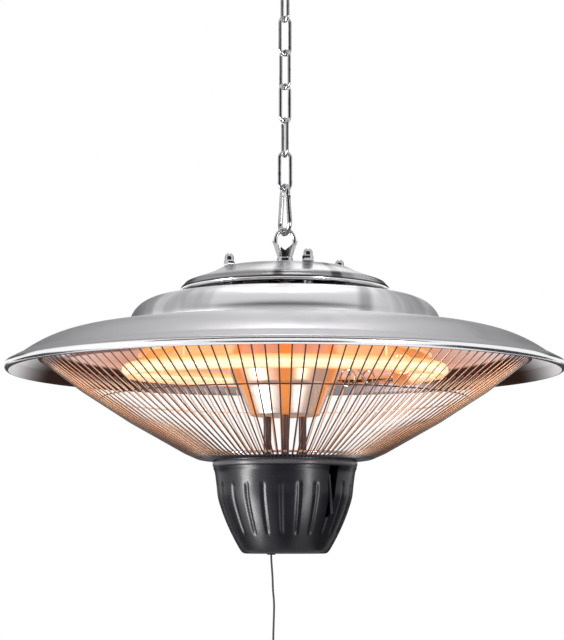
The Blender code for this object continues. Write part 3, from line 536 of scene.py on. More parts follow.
# %% Shape helpers
def mesh_object(name, mesh):
    made = bpy.data.objects.new(name, mesh)
    bpy.context.scene.collection.objects.link(made)
    return made


def smooth(mesh, degrees=38):
    mesh.shade_smooth()
    mesh.set_sharp_from_angle(angle=math.radians(degrees))
    return mesh


def settled(name, bm):
    """The bmesh as a smooth object in the scene."""
    mesh = bpy.data.meshes.new(name)
    bm.to_mesh(mesh)
    bm.free()
    return mesh_object(name, smooth(mesh))


def evaluated(made):
    """A plain mesh of an object with its modifiers."""
    return bpy.data.meshes.new_from_object(made.evaluated_get(bpy.context.evaluated_depsgraph_get()))


def spun(name, outline, turns=144, at=(0, 0), closed=True, base=0.0):
    """Turns (radius, height above base) points about a vertical axis."""
    bm = bmesh.new()
    rings = [[bm.verts.new((at[0] + r * math.cos(a), at[1] + r * math.sin(a), base + z)) for r, z in outline]
             for a in (2 * math.pi * k / turns for k in range(turns))]
    count = len(outline)
    for here, there in zip(rings, rings[1:] + rings[:1]):
        for i in range(count if closed else count - 1):
            j = (i + 1) % count
            bm.faces.new((here[i], there[i], there[j], here[j]))
    bmesh.ops.remove_doubles(bm, verts=bm.verts, dist=1e-7)
    bmesh.ops.recalc_face_normals(bm, faces=bm.faces)
    return settled(name, bm)


def bent(name, paths, radius, closed=False, round_steps=4, thickness=None):
    """A round wire along each path; thickness gives its share of the radius on the way."""
    line = bpy.data.curves.new(name, "CURVE")
    line.dimensions, line.bevel_depth, line.bevel_resolution = "3D", radius, round_steps
    line.use_fill_caps = True
    for path in paths:
        spline = line.splines.new("POLY")
        spline.points.add(len(path) - 1)
        spline.use_cyclic_u = closed
        for i, (point, spot) in enumerate(zip(spline.points, path)):
            point.co = (*spot, 1)
            point.radius = thickness(i / (len(path) - 1)) if thickness else 1.0
    holder = mesh_object(name + "_line", line)
    mesh = evaluated(holder)
    bpy.data.objects.remove(holder)
    bm = bmesh.new()
    bm.from_mesh(mesh)
    bpy.data.meshes.remove(mesh)
    bmesh.ops.remove_doubles(bm, verts=bm.verts, dist=1e-6)
    bmesh.ops.recalc_face_normals(bm, faces=bm.faces)
    return settled(name, bm)


def prism(name, outline, thick, turn):
    """A flat outline in its own X and Z, given a thickness along Y."""
    bm = bmesh.new()
    front, back = ([bm.verts.new((x, y, z)) for x, z in outline] for y in (-thick / 2, thick / 2))
    bm.faces.new(front)
    bm.faces.new(back[::-1])
    for i in range(len(outline)):
        j = (i + 1) % len(outline)
        bm.faces.new((front[i], back[i], back[j], front[j]))
    bmesh.ops.recalc_face_normals(bm, faces=bm.faces)
    bmesh.ops.transform(bm, verts=bm.verts, matrix=turn)
    return settled(name, bm)


def cut_away(piece, *cutters):
    """Takes each cutter out of the piece, and leaves a plain mesh."""
    for cutter in cutters:
        modifier = piece.modifiers.new("cut", "BOOLEAN")
        modifier.object, modifier.operation, modifier.solver = cutter, "DIFFERENCE", "EXACT"
    mesh = evaluated(piece)
    piece.modifiers.clear()
    piece.data = smooth(mesh)
    for cutter in cutters:
        bpy.data.objects.remove(cutter)
    return piece


def merged(name, *pieces):
    """Several meshes in one object."""
    bm = bmesh.new()
    for piece in pieces:
        bm.from_mesh(piece.data)
        bpy.data.objects.remove(piece)
    return settled(name, bm)


def paint(piece, *materials):
    piece.data.materials.clear()
    for material in materials:
        piece.data.materials.append(material)


def dress(piece, material, body, slot, *nodes):
    """Finish, body and CAD nodes of a finished piece."""
    if material:
        paint(piece, material)
    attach(piece, body)
    if nodes:
        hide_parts(*nodes)
    print(piece.name, len(piece.data.polygons), "faces on", body)
    return piece


def heights(node):
    """The lowest and the highest point of a CAD node."""
    low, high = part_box(node)
    return low.z, high.z


def middle_of(node):
    """Where a CAD node stands, seen from above."""
    low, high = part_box(node)
    return (low.x + high.x) / 2, (low.y + high.y) / 2


print("shape helpers ready")

# %% [markdown]
# The pull cord is thin and limp, so it hangs almost straight, with the slight set it kept from its
# packing. It comes out of the bushing under the cup and ends in its knob below the picture. Its
# whole length is 148 mm, of which the first 14 mm are inside the cup.

# %% Pull cord and knob
CORD_AT = (-0.0105, 0.0)
CORD_R, CORD_LONG, CORD_SWAY = 0.00075, 0.1482, 0.0022
SWAY = ((0, 0), (0.0958, 0), (0.2544, 0.5455), (0.3576, 1.0), (0.5439, 0.7273), (0.7287, 0.3636), (1.0, 0.0909))
KNOB_R, KNOB_L = 0.0060, 0.0260


def sway(down):
    """How far the cord stands off its line at a share of its length."""
    for (d0, x0), (d1, x1) in zip(SWAY, SWAY[1:]):
        if down <= d1:
            t = (down - d0) / (d1 - d0)
            return CORD_SWAY * (x0 + (x1 - x0) * t * t * (3 - 2 * t))


cord_top, knob_top = heights("pull_cord")[1], heights("pull_knob")[1]
cord_path = [(CORD_AT[0] + sway(t), CORD_AT[1], cord_top - CORD_LONG * t) for t in sweep(0, 1, 36)]
cord = dress(bent("braided_cord", [cord_path], CORD_R, round_steps=2), cord_braid, "pull", "black_cord", "pull_cord")
knob_line = flowing([(0.30, 0.02), (0.40, 0.05), (0.44, 0.22), (0.86, 0.42), (1.0, 0.62), (0.97, 0.88)])
knob_line = [(0, 0), (0.26, 0)] + knob_line + [(0.88, 0.985), (0.74, 1.0), (0.30, 1.0), (0.26, 0.97), (0, 0.97)]
knob = spun("turned_knob", eased([(r * KNOB_R, -z * KNOB_L) for r, z in knob_line], 0.0004, False), 64,
            (CORD_AT[0] + sway(1), 0), closed=False, base=knob_top)
dress(knob, black, "pull", "black_plastic", "pull_knob")

# %% [markdown]
# A geometry tree is the right tool for what repeats. `Tree` declares its named inputs, and `grow`
# runs it on a seed mesh, sets the inputs by their identifiers and keeps the result as a plain mesh.
# `copies` makes as many points on the axis as there are copies and turns each instance by its index,
# so it needs only a count and a first angle. Every tree ends by realizing its instances and setting
# its finish. The first tree does nothing else: it will make the four nuts, studs and spacers.

# %% Growing meshes with geometry trees
SOCKETS = {int: "NodeSocketInt", float: "NodeSocketFloat", bpy.types.Material: "NodeSocketMaterial"}


class Tree(Sheet):
    """A geometry tree with a seed mesh, named inputs, and a finish."""

    def __init__(self, name, **inputs):
        super().__init__(bpy.data.node_groups.new(name, "GeometryNodeTree"))
        face = self.tree.interface
        face.new_socket("Geometry", in_out="INPUT", socket_type="NodeSocketGeometry")
        self.names = {label: face.new_socket(label, in_out="INPUT", socket_type=SOCKETS[kind]).identifier
                      for label, kind in {**inputs, "finish": bpy.types.Material}.items()}
        face.new_socket("Geometry", in_out="OUTPUT", socket_type="NodeSocketGeometry")
        self.door = self.tree.nodes.new("NodeGroupInput")
        self.seed = self["Geometry"]

    def __getitem__(self, label):
        return Signal(self, self.door.outputs[label])

    def geo(self, kind, values=(), **settings):
        return self.add("GeometryNode" + kind, values, **settings)

    def wire(self, line, radius, sides, **more):
        """A round wire along a curve."""
        section = self.geo("CurvePrimitiveCircle", {"Resolution": sides, "Radius": radius})
        return self.geo("CurveToMesh", {0: line, 1: section, "Fill Caps": True, **more})

    def copies(self, shape):
        """Copies of a shape about the axis, by the inputs count and first."""
        turn = self.geo("InputIndex") * (2 * math.pi / self["count"]) + self["first"]
        points = self.geo("MeshLine", {"Count": self["count"], "Offset": (0, 0, 0)})
        return self.geo("InstanceOnPoints", {"Points": points, "Instance": shape,
                                             "Rotation": self.pack(0.0, 0.0, turn)})

    def ends(self, shape):
        shaded = self.geo("SetShadeSmooth", (self.geo("RealizeInstances", (shape,)),))
        finished = self.geo("SetMaterial", {0: shaded, "Material": self["finish"]})
        self.tree.links.new(finished.socket, self.tree.nodes.new("NodeGroupOutput").inputs[0])


def grow(tree, name, seed, **values):
    """The tree's result on a seed object as a plain mesh object."""
    modifier = seed.modifiers.new("tree", "NODES")
    modifier.node_group = tree.tree
    for label, value in values.items():
        modifier[tree.names[label]] = value
    mesh = evaluated(seed)
    bpy.data.objects.remove(seed)
    mesh.name = name
    mesh.set_sharp_from_angle(angle=math.radians(38))
    return mesh_object(name, mesh)


def edge_line(name, points=((0, 0, 0), (0.01, 0, 0))):
    """A seed that holds only a line of points."""
    mesh = bpy.data.meshes.new(name)
    mesh.from_pydata([tuple(p) for p in points], [(i, i + 1) for i in range(len(points) - 1)], [])
    return mesh_object(name, mesh)


ring_tree = Tree("copies_about_the_axis", count=int, first=float)
ring_tree.ends(ring_tree.copies(ring_tree.seed))
print("ring tree", list(ring_tree.names))

# %% [markdown]
# The shade is the largest piece, and its outline decides the whole likeness: a low crown, a rounded
# upper tier, a small valley, a shoulder that falls ever steeper, and a rolled bead at the rim. It is
# one sheet, 1.2 mm thick, turned from one measured outline.

# %% Shade
SHEET = 0.0012
crown = flowing(seen((6.2, 212.6), (60, 206.25), (90, 202.65)), 4)
tier = arc((0.0945, level(0.1815)), 0.0241, range(84, 5, -6), 0.0206)
valley = seen((118.45, 180.6), (118.35, 179.7), (118.8, 178.85), (120.2, 178.4))
plateau = flowing(seen((128, 177.95), (136, 177.52)), 3)
shoulder = [(0.14 + 0.0625 * u, level(0.1562 + 0.0207 * (1 - u ** 2.3))) for u in sweep(0, 1, 22)[1:]]
lip = seen((204.5, 155.7), (206.6, 154.7))
bead = arc((0.2093, level(0.1494)), 0.0034, range(76, -171, -13))
outer_side = crown + tier + valley + plateau + shoulder + lip
shade = spun("spun_shade", outer_side + bead + inner_side(outer_side, SHEET)[1:], 192)
paint(shade, brushed, inner_sheet, polished_and_highlit_edge)
for face in shade.data.polygons:
    spot, reach = face.center, math.hypot(face.center.x, face.center.y)
    facing_out = face.normal.x * spot.x + face.normal.y * spot.y > 0
    under_the_bead = not facing_out and spot.z < level(0.1520)
    inside = under_the_bead or (face.normal.z < -0.15 and reach < lip[0][0])
    edge = facing_out and reach > 0.2052 and spot.z < level(0.1510)
    face.material_index = 1 if inside else 2 if edge else 0
dress(shade, None, "heater", "spun_aluminium", "shade")

# %% [markdown]
# The cap is a hat of thinner sheet: a flat top, a sloping side and a rolled edge. Four studs with
# acorn nuts hold it above the shade on short spacers, which leave a dark gap.

# %% Cap
cap_top = seen((4.3, 225.5), (30, 225.5), (49.4, 225.5), (50.4, 225.2))
cap_side = flowing(seen((51.2, 224.8), (56, 222.3), (64, 219.2), (72, 216.4), (76.2, 214.5), (77.6, 212.4)), 5)
cap_edge = seen((78.1, 212.1), (79, 211.6), (79.6, 210.6), (79.7, 209.5), (79.3, 208.3), (78.5, 207.4), (77.3, 207))
cap = spun("spun_cap", cap_top + cap_side + cap_edge + inner_side(cap_top + cap_side, 0.0011))
paint(cap, brushed, polished_and_highlit_edge)
for face in cap.data.polygons:
    face.material_index = int(math.hypot(face.center.x, face.center.y) > 0.0770 and face.center.z < level(0.2098))
dress(cap, None, "heater", "spun_aluminium", "top_cap")

# %% [markdown]
# Each acorn nut is a hexagon with a domed end. It is built once, beside the axis, and the ring tree
# makes four of it. The same goes for the studs and spacers below them.

# %% Acorn nuts, studs and spacers
NUT_CIRCLE, NUT_TURN = 0.0455, -68.0


def four_about(name, seed, material, slot, node):
    """Four copies of a seed, for the four CAD nodes of that name."""
    copies = grow(ring_tree, name, seed, count=4, first=math.radians(NUT_TURN), finish=material)
    dress(copies, None, "heater", slot, *[f"{node}_{n}" for n in range(1, 5)])


nut_low = heights("acorn_nut_1")[0]
hexagon = spun("hexagon", mm((0, 0), (4, 0), (4.3, 0.4), (4.3, 4.2), (4, 4.6), (0, 4.6)),
               6, (NUT_CIRCLE, 0), closed=False, base=nut_low)
dome_line = arc((0, 0.0066), 0.0034, range(15, 90, 15), 0.0036)
dome = spun("dome", mm((0, 4), (3.4, 4.2), (3.4, 6.6)) + dome_line + mm((0, 10.2)),
            24, (NUT_CIRCLE, 0), closed=False, base=nut_low)
four_about("acorn_nuts", merged("one_nut", hexagon, dome), chrome, "chrome_steel", "acorn_nut")
spacer = spun("spacer", eased(tube_outline(0.0024, 0.0040, *heights("cap_spacer_1")), 0.0003), 24, (NUT_CIRCLE, 0))
four_about("cap_spacers", spacer, zinc, "zinc_steel", "cap_spacer")
stud_low, stud_high = heights("cap_stud_1")
stud = spun("stud", [(0, stud_high), (0.0018, stud_high), (0.0020, stud_high - 0.0003), (0.0020, stud_low + 0.0025),
                     (0.0033, stud_low + 0.0025), (0.0034, stud_low + 0.0022), (0.0034, stud_low + 0.0004),
                     (0.0030, stud_low), (0, stud_low)], 20, (NUT_CIRCLE, 0), closed=False)
four_about("cap_studs", stud, zinc, "zinc_steel", "cap_stud")

# %% [markdown]
# The guard is the piece that takes most skill: 120 wires, each bent twice on its way down from the
# top ring, laid flat at the cup's rim and welded there to an inner ring. One wire is a line of
# measured points; the tree rounds its bends, gives it thickness and copies it about the axis.

# %% Wire guard
WIRE_R, RING_R, WIRES = 0.0006, 0.0013, 120
wire_line = seen((186.2, 156), (154.5, 132.5), (117.7, 108.8), (76.1, 85.3), (65.5, 80.6), (51.5, 79.7))
guard_tree = Tree("fan_of_bent_wires", count=int, first=float, wire=float, bend=float)
sharp_line = guard_tree.geo("MeshToCurve", (guard_tree.seed,))
round_bends = guard_tree.geo("FilletCurve", {0: sharp_line, "Count": 4, "Radius": guard_tree["bend"],
                                             "Limit Radius": True}, mode="POLY")
guard_tree.ends(guard_tree.copies(guard_tree.wire(round_bends, guard_tree["wire"], 8)))
fan = grow(guard_tree, "guard_fan", edge_line("guard_line", [(r, 0, z) for r, z in wire_line]), count=WIRES,
           first=math.radians(1.5), wire=WIRE_R, bend=0.012, finish=nickel_wire)
top_ring = bent("guard_top_ring", [ring_of(*wire_line[0])], RING_R, True)
weld_ring = spun("guard_weld_ring", eased(tube_outline(0.0500, 0.0528, level(0.0785), level(0.0805)), 0.0003), 96)
dress(merged("wire_guard_fan", fan, top_ring, weld_ring), nickel_wire, "heater", "guard_steel", "wire_guard")

# %% [markdown]
# Two more rings are welded inside the wires: a thin one half-way down, and a bright one just above
# the cup. Each lies in the middle of its CAD ring.

# %% Guard rings
for name, node, wire, steps, inset, material, slot in (
        ("welded_mid_ring", "guard_mid_ring", 0.0005, 144, 0.0007, nickel_wire, "guard_steel"),
        ("bright_low_ring", "guard_bottom_ring", 0.0009, 120, 0.0009, chrome, "chrome_steel")):
    low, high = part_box(node)
    hoop = bent(name, [ring_of(high.x - inset, (low.z + high.z) / 2, steps)], wire, True)
    dress(hoop, material, "heater", slot, node)

# %% [markdown]
# The reflector is bent from bright sheet into twelve flat panels. Flat panels and crisp creases are
# what makes it read as folded sheet, so it is turned in only twelve steps and kept sharp.

# %% Reflector
REFLECTOR_R, PANELS = 0.1120, 12
fold_low, fold_top = heights("reflector_plate")
reflector_line = [(0.012, fold_top), (0.056, fold_top - 0.0053), (REFLECTOR_R, fold_low + 0.0022),
                  (REFLECTOR_R, fold_low)]
reflector = spun("folded_reflector", reflector_line + inner_side(reflector_line, 0.0008), PANELS)
smooth(reflector.data, 12)
dress(reflector, reflector_sheet, "heater", "reflector_aluminium", "reflector_plate")

# %% [markdown]
# The heating tube is a ring of quartz glass with an open quarter at the back right. Inside it a
# tungsten coil glows. The coil is a line that winds about the ring: the tree lays out its points by
# index, with one angle round the heater and a faster one round the tube. Two ribbed holders close
# the tube's ends, and three wire clips carry it under the reflector.

# %% Heating tube, coil, end caps and clips
TUBE_RING_R, TUBE_R, TUBE_FROM, TUBE_TO = 0.1190, 0.0053, 31.0, -280.0
CLIP_R, CLIP_HALF, HOLDER_R, HOLDER_STEPS = 0.0067, 0.0022, 0.0067, 14


def on_ring(degrees):
    """The tube's middle at an angle; the ring rises a little towards the back."""
    spot = around(TUBE_RING_R, degrees)
    return Vector((spot.x, spot.y, TUBE_HIGH + spot.y * math.tan(TUBE_LEAN)))


def ribs(t):
    """The holder's thickness on its way: every third step is a groove."""
    return 0.9 if t > 0 and int(t * HOLDER_STEPS) % 3 == 0 else 1.0


tube = bent("quartz_ring", [[on_ring(a) for a in sweep(TUBE_FROM, TUBE_TO, 120)]], TUBE_R)
dress(tube, quartz, "heater", "quartz", "heating_tube")
coil_tree = Tree("coil_in_a_ring", points=int, turns=float, ring=float, coil=float, wire=float, start=float,
                 span=float, lean=float)
share = coil_tree.geo("InputIndex") / coil_tree["points"]
about = share * coil_tree["span"] + coil_tree["start"]
wound = share * coil_tree["turns"] * (2 * math.pi)
reach = wound.cosine() * coil_tree["coil"] + coil_tree["ring"]
coil_y = reach * about.sine()
coil_z = wound.sine() * coil_tree["coil"] + coil_y * coil_tree["lean"] + TUBE_HIGH
coil_points = coil_tree.geo("MeshLine", {"Count": coil_tree["points"], "Offset": (0.001, 0, 0)})
coil_line = coil_tree.geo("SetPosition", {"Geometry": coil_points,
                                          "Position": coil_tree.pack(reach * about.cosine(), coil_y, coil_z)})
coil_tree.ends(coil_tree.wire(coil_tree.geo("MeshToCurve", (coil_line,)), coil_tree["wire"], 5))
coil = grow(coil_tree, "tungsten_coil", edge_line("coil_seed"), points=2400, turns=240.0, ring=TUBE_RING_R,
            coil=0.0010, wire=0.00035, start=math.radians(TUBE_FROM - 0.6),
            span=math.radians(TUBE_TO - TUBE_FROM + 1.2), lean=math.tan(TUBE_LEAN), finish=coil_glow)
dress(coil, None, "heater", "tungsten", "tube_filament")
for n, (degrees, step) in enumerate(((TUBE_FROM, 0.5), (TUBE_TO, -0.5))):
    ahead = (on_ring(degrees) - on_ring(degrees - step)).normalized()
    start = on_ring(degrees) + ahead * 0.0003
    holder_path = [start + ahead * 0.02 * i / HOLDER_STEPS for i in range(HOLDER_STEPS + 1)]
    holder = bent(f"tube_holder_{n + 1}", [holder_path], HOLDER_R, round_steps=6, thickness=ribs)
    dress(holder, end_ceramic, "heater", "ceramic", f"tube_end_cap_{n + 1}")
for n, degrees in enumerate((-135.0, -45.0, 105.0)):
    spot, high = on_ring(degrees), heights(f"tube_clip_{n + 1}")[1]
    ahead = (on_ring(degrees + 0.5) - on_ring(degrees - 0.5)).normalized()
    out = around(1, degrees)
    out = (out - ahead * out.dot(ahead)).normalized()
    loops = [ring_of(CLIP_R, shift, 24) for shift in (-CLIP_HALF, CLIP_HALF)]
    band = bent(f"band_{n}", loops, 0.0006, True, round_steps=2)
    band.data.transform(Matrix.Translation(spot) @ Matrix((out, ahead.cross(out), ahead)).transposed().to_4x4())
    leg = [around(TUBE_RING_R - inset, degrees, z) for inset, z in (
        (CLIP_R, spot.z), (0.0140, spot.z), (0.0150, spot.z + 0.001), (0.0150, high))]
    tie = [spot - out * CLIP_R + ahead * CLIP_HALF * k for k in (-1, 1)]
    clip = merged(f"spring_clip_{n + 1}", band, bent(f"leg_{n}", [leg, tie], 0.0009, round_steps=2))
    dress(clip, clip_wire, "heater", "zinc_steel", f"tube_clip_{n + 1}")

# %% [markdown]
# In the open quarter the two leads come out of the tube's ends. Each is a stiff formed wire: it makes
# one loop, which takes up the tube's growth as it heats, and ends on the reflector.

# %% Looped leads
def under_reflector(spot):
    """The height of the folded plate over a point, from its nearest panel."""
    half = 180 / PANELS
    off_flat = (math.degrees(math.atan2(spot.y, spot.x)) + half) % (2 * half) - half
    corner = math.hypot(spot.x, spot.y) * math.cos(math.radians(half - abs(off_flat))) / math.cos(math.radians(half))
    (inner_r, inner_z), (outer_r, outer_z) = reflector_line[1:3]
    return inner_z + (corner - inner_r) / (outer_r - inner_r) * (outer_z - inner_z)


for n, (tip, ring_at, foot_at, wide) in enumerate(((40.9, 55.5, 60.0, 0.0052), (70.2, 64.5, 58.5, 0.0068))):
    centre = on_ring(ring_at) + Vector((0, 0, 0.0016))
    sideways = around(1, ring_at + (90 if ring_at > tip else -90))
    loop_line = [centre + sideways * x + Vector((0, 0, z)) + around(0.0016 * (i / 24 - 0.5), ring_at)
                 for i, (x, z) in enumerate(arc((0, 0), wide, range(-90, 271, 15)))]
    foot = around(0.1040, foot_at)
    foot.z = under_reflector(foot) - 0.0004
    start = on_ring(tip)
    lead_line = flowing([start, start.lerp(loop_line[0], 0.6)], 4) + loop_line
    lead_line += flowing([loop_line[-1], loop_line[-1].lerp(foot, 0.5), foot], 5)[1:]
    dress(bent(f"looped_lead_{n + 1}", [lead_line], 0.0008, round_steps=2), chrome, "heater", "zinc_steel")

# %% [markdown]
# Between the reflector and the cup hangs a polished column, with the glow's reflections at both sides
# painted on it, and three dark posts go on from it down to the cup.

# %% Column and posts
column_line = [(0.0380, heights("central_column")[1])] + seen(
    (38, 175.2), (39.5, 168), (44, 151.3), (38.5, 137.7), (35, 134.6), (26.4, 113.9), (25.6, 113.5), (5, 113.5))
column_line = eased(column_line, 0.0012, False)
column = spun("polished_column", column_line + inner_side(column_line, 0.0010), 96)
dress(column, column_sheet, "heater", "spun_aluminium", "central_column")
for n in (1, 2, 3):
    low, high = heights(f"support_post_{n}")
    line = [(0, high), (0.0015, high), (0.0017, high - 0.0003), (0.0017, high - 0.0035), (0.0030, high - 0.0035),
            (0.0030, low + 0.0035), (0.0017, low + 0.0035), (0.0017, low + 0.0003), (0.0015, low), (0, low)]
    post = spun(f"turned_post_{n}", eased(line, 0.0005, False), 28, middle_of(f"support_post_{n}"), closed=False)
    dress(post, post_brown, "heater", "dark_post", f"support_post_{n}")

# %% [markdown]
# The cup is moulded, with shallow flutes that run out before the rim and the foot. Its wall is
# turned from an outline first. A tree then pushes the wall inwards by a rounded wave of the angle,
# faded in and out with height, so the flutes end softly as moulded ones do. A tapered slot with a
# tongue in it is cut into one side, and a bushing guides the cord through the foot.

# %% Cup with flutes, its lid and bushing
CUP_HIGH, CUP_LONG, CUP_R, CUP_WALL = level(0.0785), 0.0695, 0.0558, 0.0022
CUP_LOW, LID_R, SLOT_TURN = CUP_HIGH - CUP_LONG, CUP_R * 0.986, -46.0
rim_band = [(0.9700, 0), (0.9820, 0.004), (0.9860, 0.012), (0.9840, 0.046), (0.9800, 0.052), (0.9690, 0.056),
            (0.9690, 0.060)]
cup_side = flowing([(0.9790, 0.0640), (0.9700, 0.0850), (0.9534, 0.1281), (0.9319, 0.2604), (0.9122, 0.3928),
                    (0.8638, 0.5237), (0.8011, 0.6561), (0.7258, 0.7885), (0.6380, 0.9209), (0.5824, 0.9856),
                    (0.5376, 1.0)], 8)
cup_outer = [(r * CUP_R, CUP_HIGH - z * CUP_LONG) for r, z in rim_band + cup_side]
cup_inner = [(max(r - CUP_WALL, 0), max(z, CUP_LOW + CUP_WALL)) for r, z in cup_outer[:-4]]
cup_seed = spun("cup_seed", [(0, CUP_LOW + CUP_WALL)] + cup_inner[::-1] + cup_outer + [(0.02, CUP_LOW), (0, CUP_LOW)],
                288, closed=False)
cup_tree = Tree("fluted_wall", flutes=int, depth=float)
spot_x, spot_y, spot_z = cup_tree.split(cup_tree.geo("InputPosition"))
cup_radius = (spot_x * spot_x + spot_y * spot_y) ** 0.5
cup_angle = cup_tree.maths("ARCTAN2", spot_y, spot_x)
wave = ((cup_angle + math.radians(3.4)) * cup_tree["flutes"]).cosine().ramp_up(0.62, 0.98)
fade = spot_z.rise(0.0215, 0.0260) * (1 - spot_z.rise(0.0590, 0.0630))
normal_x, normal_y, normal_z = cup_tree.split(cup_tree.geo("InputNormal"))
outward = (normal_x * spot_x + normal_y * spot_y).ramp_up(0.0, 0.01)
push = -(wave * fade * outward * cup_tree["depth"] / cup_radius)
cup_tree.ends(cup_tree.geo("SetPosition", {"Geometry": cup_tree.seed,
                                           "Offset": cup_tree.pack(spot_x * push, spot_y * push, 0.0)}))
cup = grow(cup_tree, "fluted_cup", cup_seed, flutes=24, depth=0.0007, finish=charcoal)


def at_slot(radius):
    """From the slot's flat drawing to its place in the wall."""
    turn = Matrix.Rotation(math.radians(SLOT_TURN + 90), 4, "Z")
    return Matrix.Translation(around(radius, SLOT_TURN, CUP_HIGH)) @ turn


slot_line = mm((-6.4, -4.5), (3.6, -4.5), (0.6, -42.8), (-2.6, -42.8))
slot = prism("slot_cutter", eased(slot_line, 0.0008), 0.03, at_slot(CUP_R))
way = spun("cord_way", tube_outline(0, 0.0031, CUP_HIGH - 0.08, CUP_HIGH - 0.06), 32, CORD_AT, closed=False)
cut_away(cup, slot, way)
tongue_line = mm((-6.2, -11), (-4.4, -11), (-1.4, -40), (-2.2, -40.5))
tongue = prism("slot_tongue", eased(tongue_line, 0.0003), 0.0016, at_slot(CUP_R - 0.0040))
dress(merged("fluted_cup_with_slot", cup, tongue), charcoal, "heater", "charcoal_plastic", "cup_housing")
lid_line = [(0.006, 0), (LID_R, 0), (LID_R + 0.0002, -0.0004), (LID_R, -0.0008), (0.006, -0.0008)]
dress(spun("cup_lid", eased(lid_line, 0.0002), base=heights("cup_cover")[1]), charcoal, "heater", "charcoal_plastic",
      "cup_cover")
bush_low, bush_high = heights("cord_bushing")
bush_line = [(0.0012, bush_high), (0.0030, bush_high), (0.0030, bush_low + 0.0012), (0.0034, bush_low + 0.0012),
             (0.0030, bush_low + 0.0006), (0.0012, bush_low + 0.0006)]
dress(spun("cord_guide", eased(bush_line, 0.0003), 40, CORD_AT), black, "heater", "black_plastic", "cord_bushing")

# %% [markdown]
# Each chain link is a rounded long loop. A tree draws the loop as a rectangle whose corners are
# fully rounded, swells it a little where its weld was ground, and stands it up at its own turn. It is
# grown once per link, because every link rides on its own body.

# %% Chain links
LINK_WIRE, LINK_WIDTH, LINK_PITCH = 0.0026, 0.0113, 0.0263
LINK_LONG = LINK_PITCH + LINK_WIRE + 0.0003
link_tree = Tree("long_link", wide=float, long=float, wire=float, turn=float, middle=float, weld=float)
loop_wide = link_tree["wide"] - link_tree["wire"]
loop = link_tree.geo("CurvePrimitiveQuadrilateral", {"Width": loop_wide, "Height": link_tree["long"]})
loop = link_tree.geo("FilletCurve", {0: loop, "Count": 12, "Radius": loop_wide * 0.4999}, mode="POLY")
loop = link_tree.geo("ResampleCurve", {0: loop, "Count": 96})
at_weld = (link_tree.geo("SplineParameter") - link_tree["weld"]) * 60.0
swell = 0.09 / (at_weld * at_weld + 1) + 1.0
swollen = link_tree.geo("SetCurveRadius", {"Curve": loop, "Radius": swell})
link_tree.ends(link_tree.geo("Transform", {
    "Geometry": link_tree.wire(swollen, link_tree["wire"] * 0.5, 20, Scale=swell),
    "Translation": link_tree.pack(0.0, 0.0, link_tree["middle"]),
    "Rotation": link_tree.pack(math.pi / 2, 0.0, link_tree["turn"])}))
for n, turn in enumerate((-60.0, 30.0, -42.0, 37.0, -68.0, 13.5), 1):
    link = grow(link_tree, f"long_link_{n}", edge_line("link_seed"), wide=LINK_WIDTH, long=LINK_LONG, wire=LINK_WIRE,
                turn=math.radians(turn), middle=sum(heights(f"chain_link_{n}")) / 2, weld=0.62, finish=chrome)
    dress(link, None, f"link_{n}", "zinc_steel", f"chain_link_{n}")

# %% [markdown]
# The snap hook is one pear-shaped wire with a flattened tongue, and a gate that turns on a pin. Its
# path is two arcs joined by straight runs that lean with the hook's taper.

# %% Snap hook
SNAP_WIRE, SNAP_LONG, SNAP_TOP_R, SNAP_LOW_R, SNAP_YAW = 0.0036, 0.041, 0.0046, 0.0082, -64.0
GATE_LONG, GATE_R, GATE_DROP, PIN_R = 0.0130, 0.0018, 0.0092, 0.0006
snap_top = heights("snap_hook_body")[1] - SNAP_WIRE / 2
snap_low = SNAP_LONG - SNAP_WIRE
lean = math.asin((SNAP_LOW_R - SNAP_TOP_R) / (snap_low - SNAP_TOP_R - SNAP_LOW_R))
down = Vector((math.sin(lean), -math.cos(lean)))
top_out = Vector((math.cos(lean), math.sin(lean))) * SNAP_TOP_R - Vector((0, SNAP_TOP_R))
pin_at = top_out + down * (GATE_DROP + top_out.y)
nose_at = pin_at + down * GATE_LONG
tongue_top = pin_at - down * (PIN_R + GATE_R)
gate_start = pin_at - down * (PIN_R + 0.0006)
hook_turn = Matrix.Translation((0, 0, snap_top)) @ Matrix.Rotation(math.radians(SNAP_YAW), 4, "Z")


def in_hook(point):
    return hook_turn @ Vector((point[0], 0, point[1]))


def strip(start, end, half):
    """The outline of a strip along the gate."""
    side = Vector((-down.y, down.x)) * half
    return [tuple(p) for p in (start + side, start - side, end - side, end + side)]


tilt = math.degrees(lean)
hook_line = [tongue_top] + arc((0, -SNAP_TOP_R), SNAP_TOP_R, sweep(tilt, 180 - tilt, 18))
hook_line += arc((0, SNAP_LOW_R - snap_low), SNAP_LOW_R, sweep(180 - tilt, 360 + tilt, 30)) + [nose_at + down * 0.0007]
hook = bent("bent_snap_hook", [[in_hook(p) for p in hook_line]], SNAP_WIRE / 2, round_steps=6)
tongue_start = tongue_top - down * GATE_R
tongue_line = strip(tongue_start, tongue_start + down * (PIN_R * 4 + GATE_R * 2), 0.00144)
tongue = prism("tongue", eased(tongue_line, 0.0006), 0.0011, hook_turn)
dress(merged("snap_hook_wire", hook, tongue), hook_chrome, "snap_hook", "zinc_steel", "snap_hook_body")
gate_path = [in_hook(gate_start + (nose_at - gate_start) * t) for t in sweep(0, 1, 6)]
gate = bent("gate_bar", [gate_path], GATE_R, round_steps=6)
fork = prism("fork", strip(gate_start - down * GATE_R, gate_start + down * 0.0038, 0.0036), 0.0017, hook_turn)
dress(cut_away(gate, fork), hook_chrome, "gate", "zinc_steel", "snap_hook_gate")
pin = spun("hinge_pin", eased(tube_outline(0, PIN_R, -0.0022, 0.0022), 0.0002, False), 20, closed=False)
pin.data.transform(hook_turn @ Matrix.Translation((pin_at.x, 0, pin_at.y)) @ Matrix.Rotation(math.pi / 2, 4, "X"))
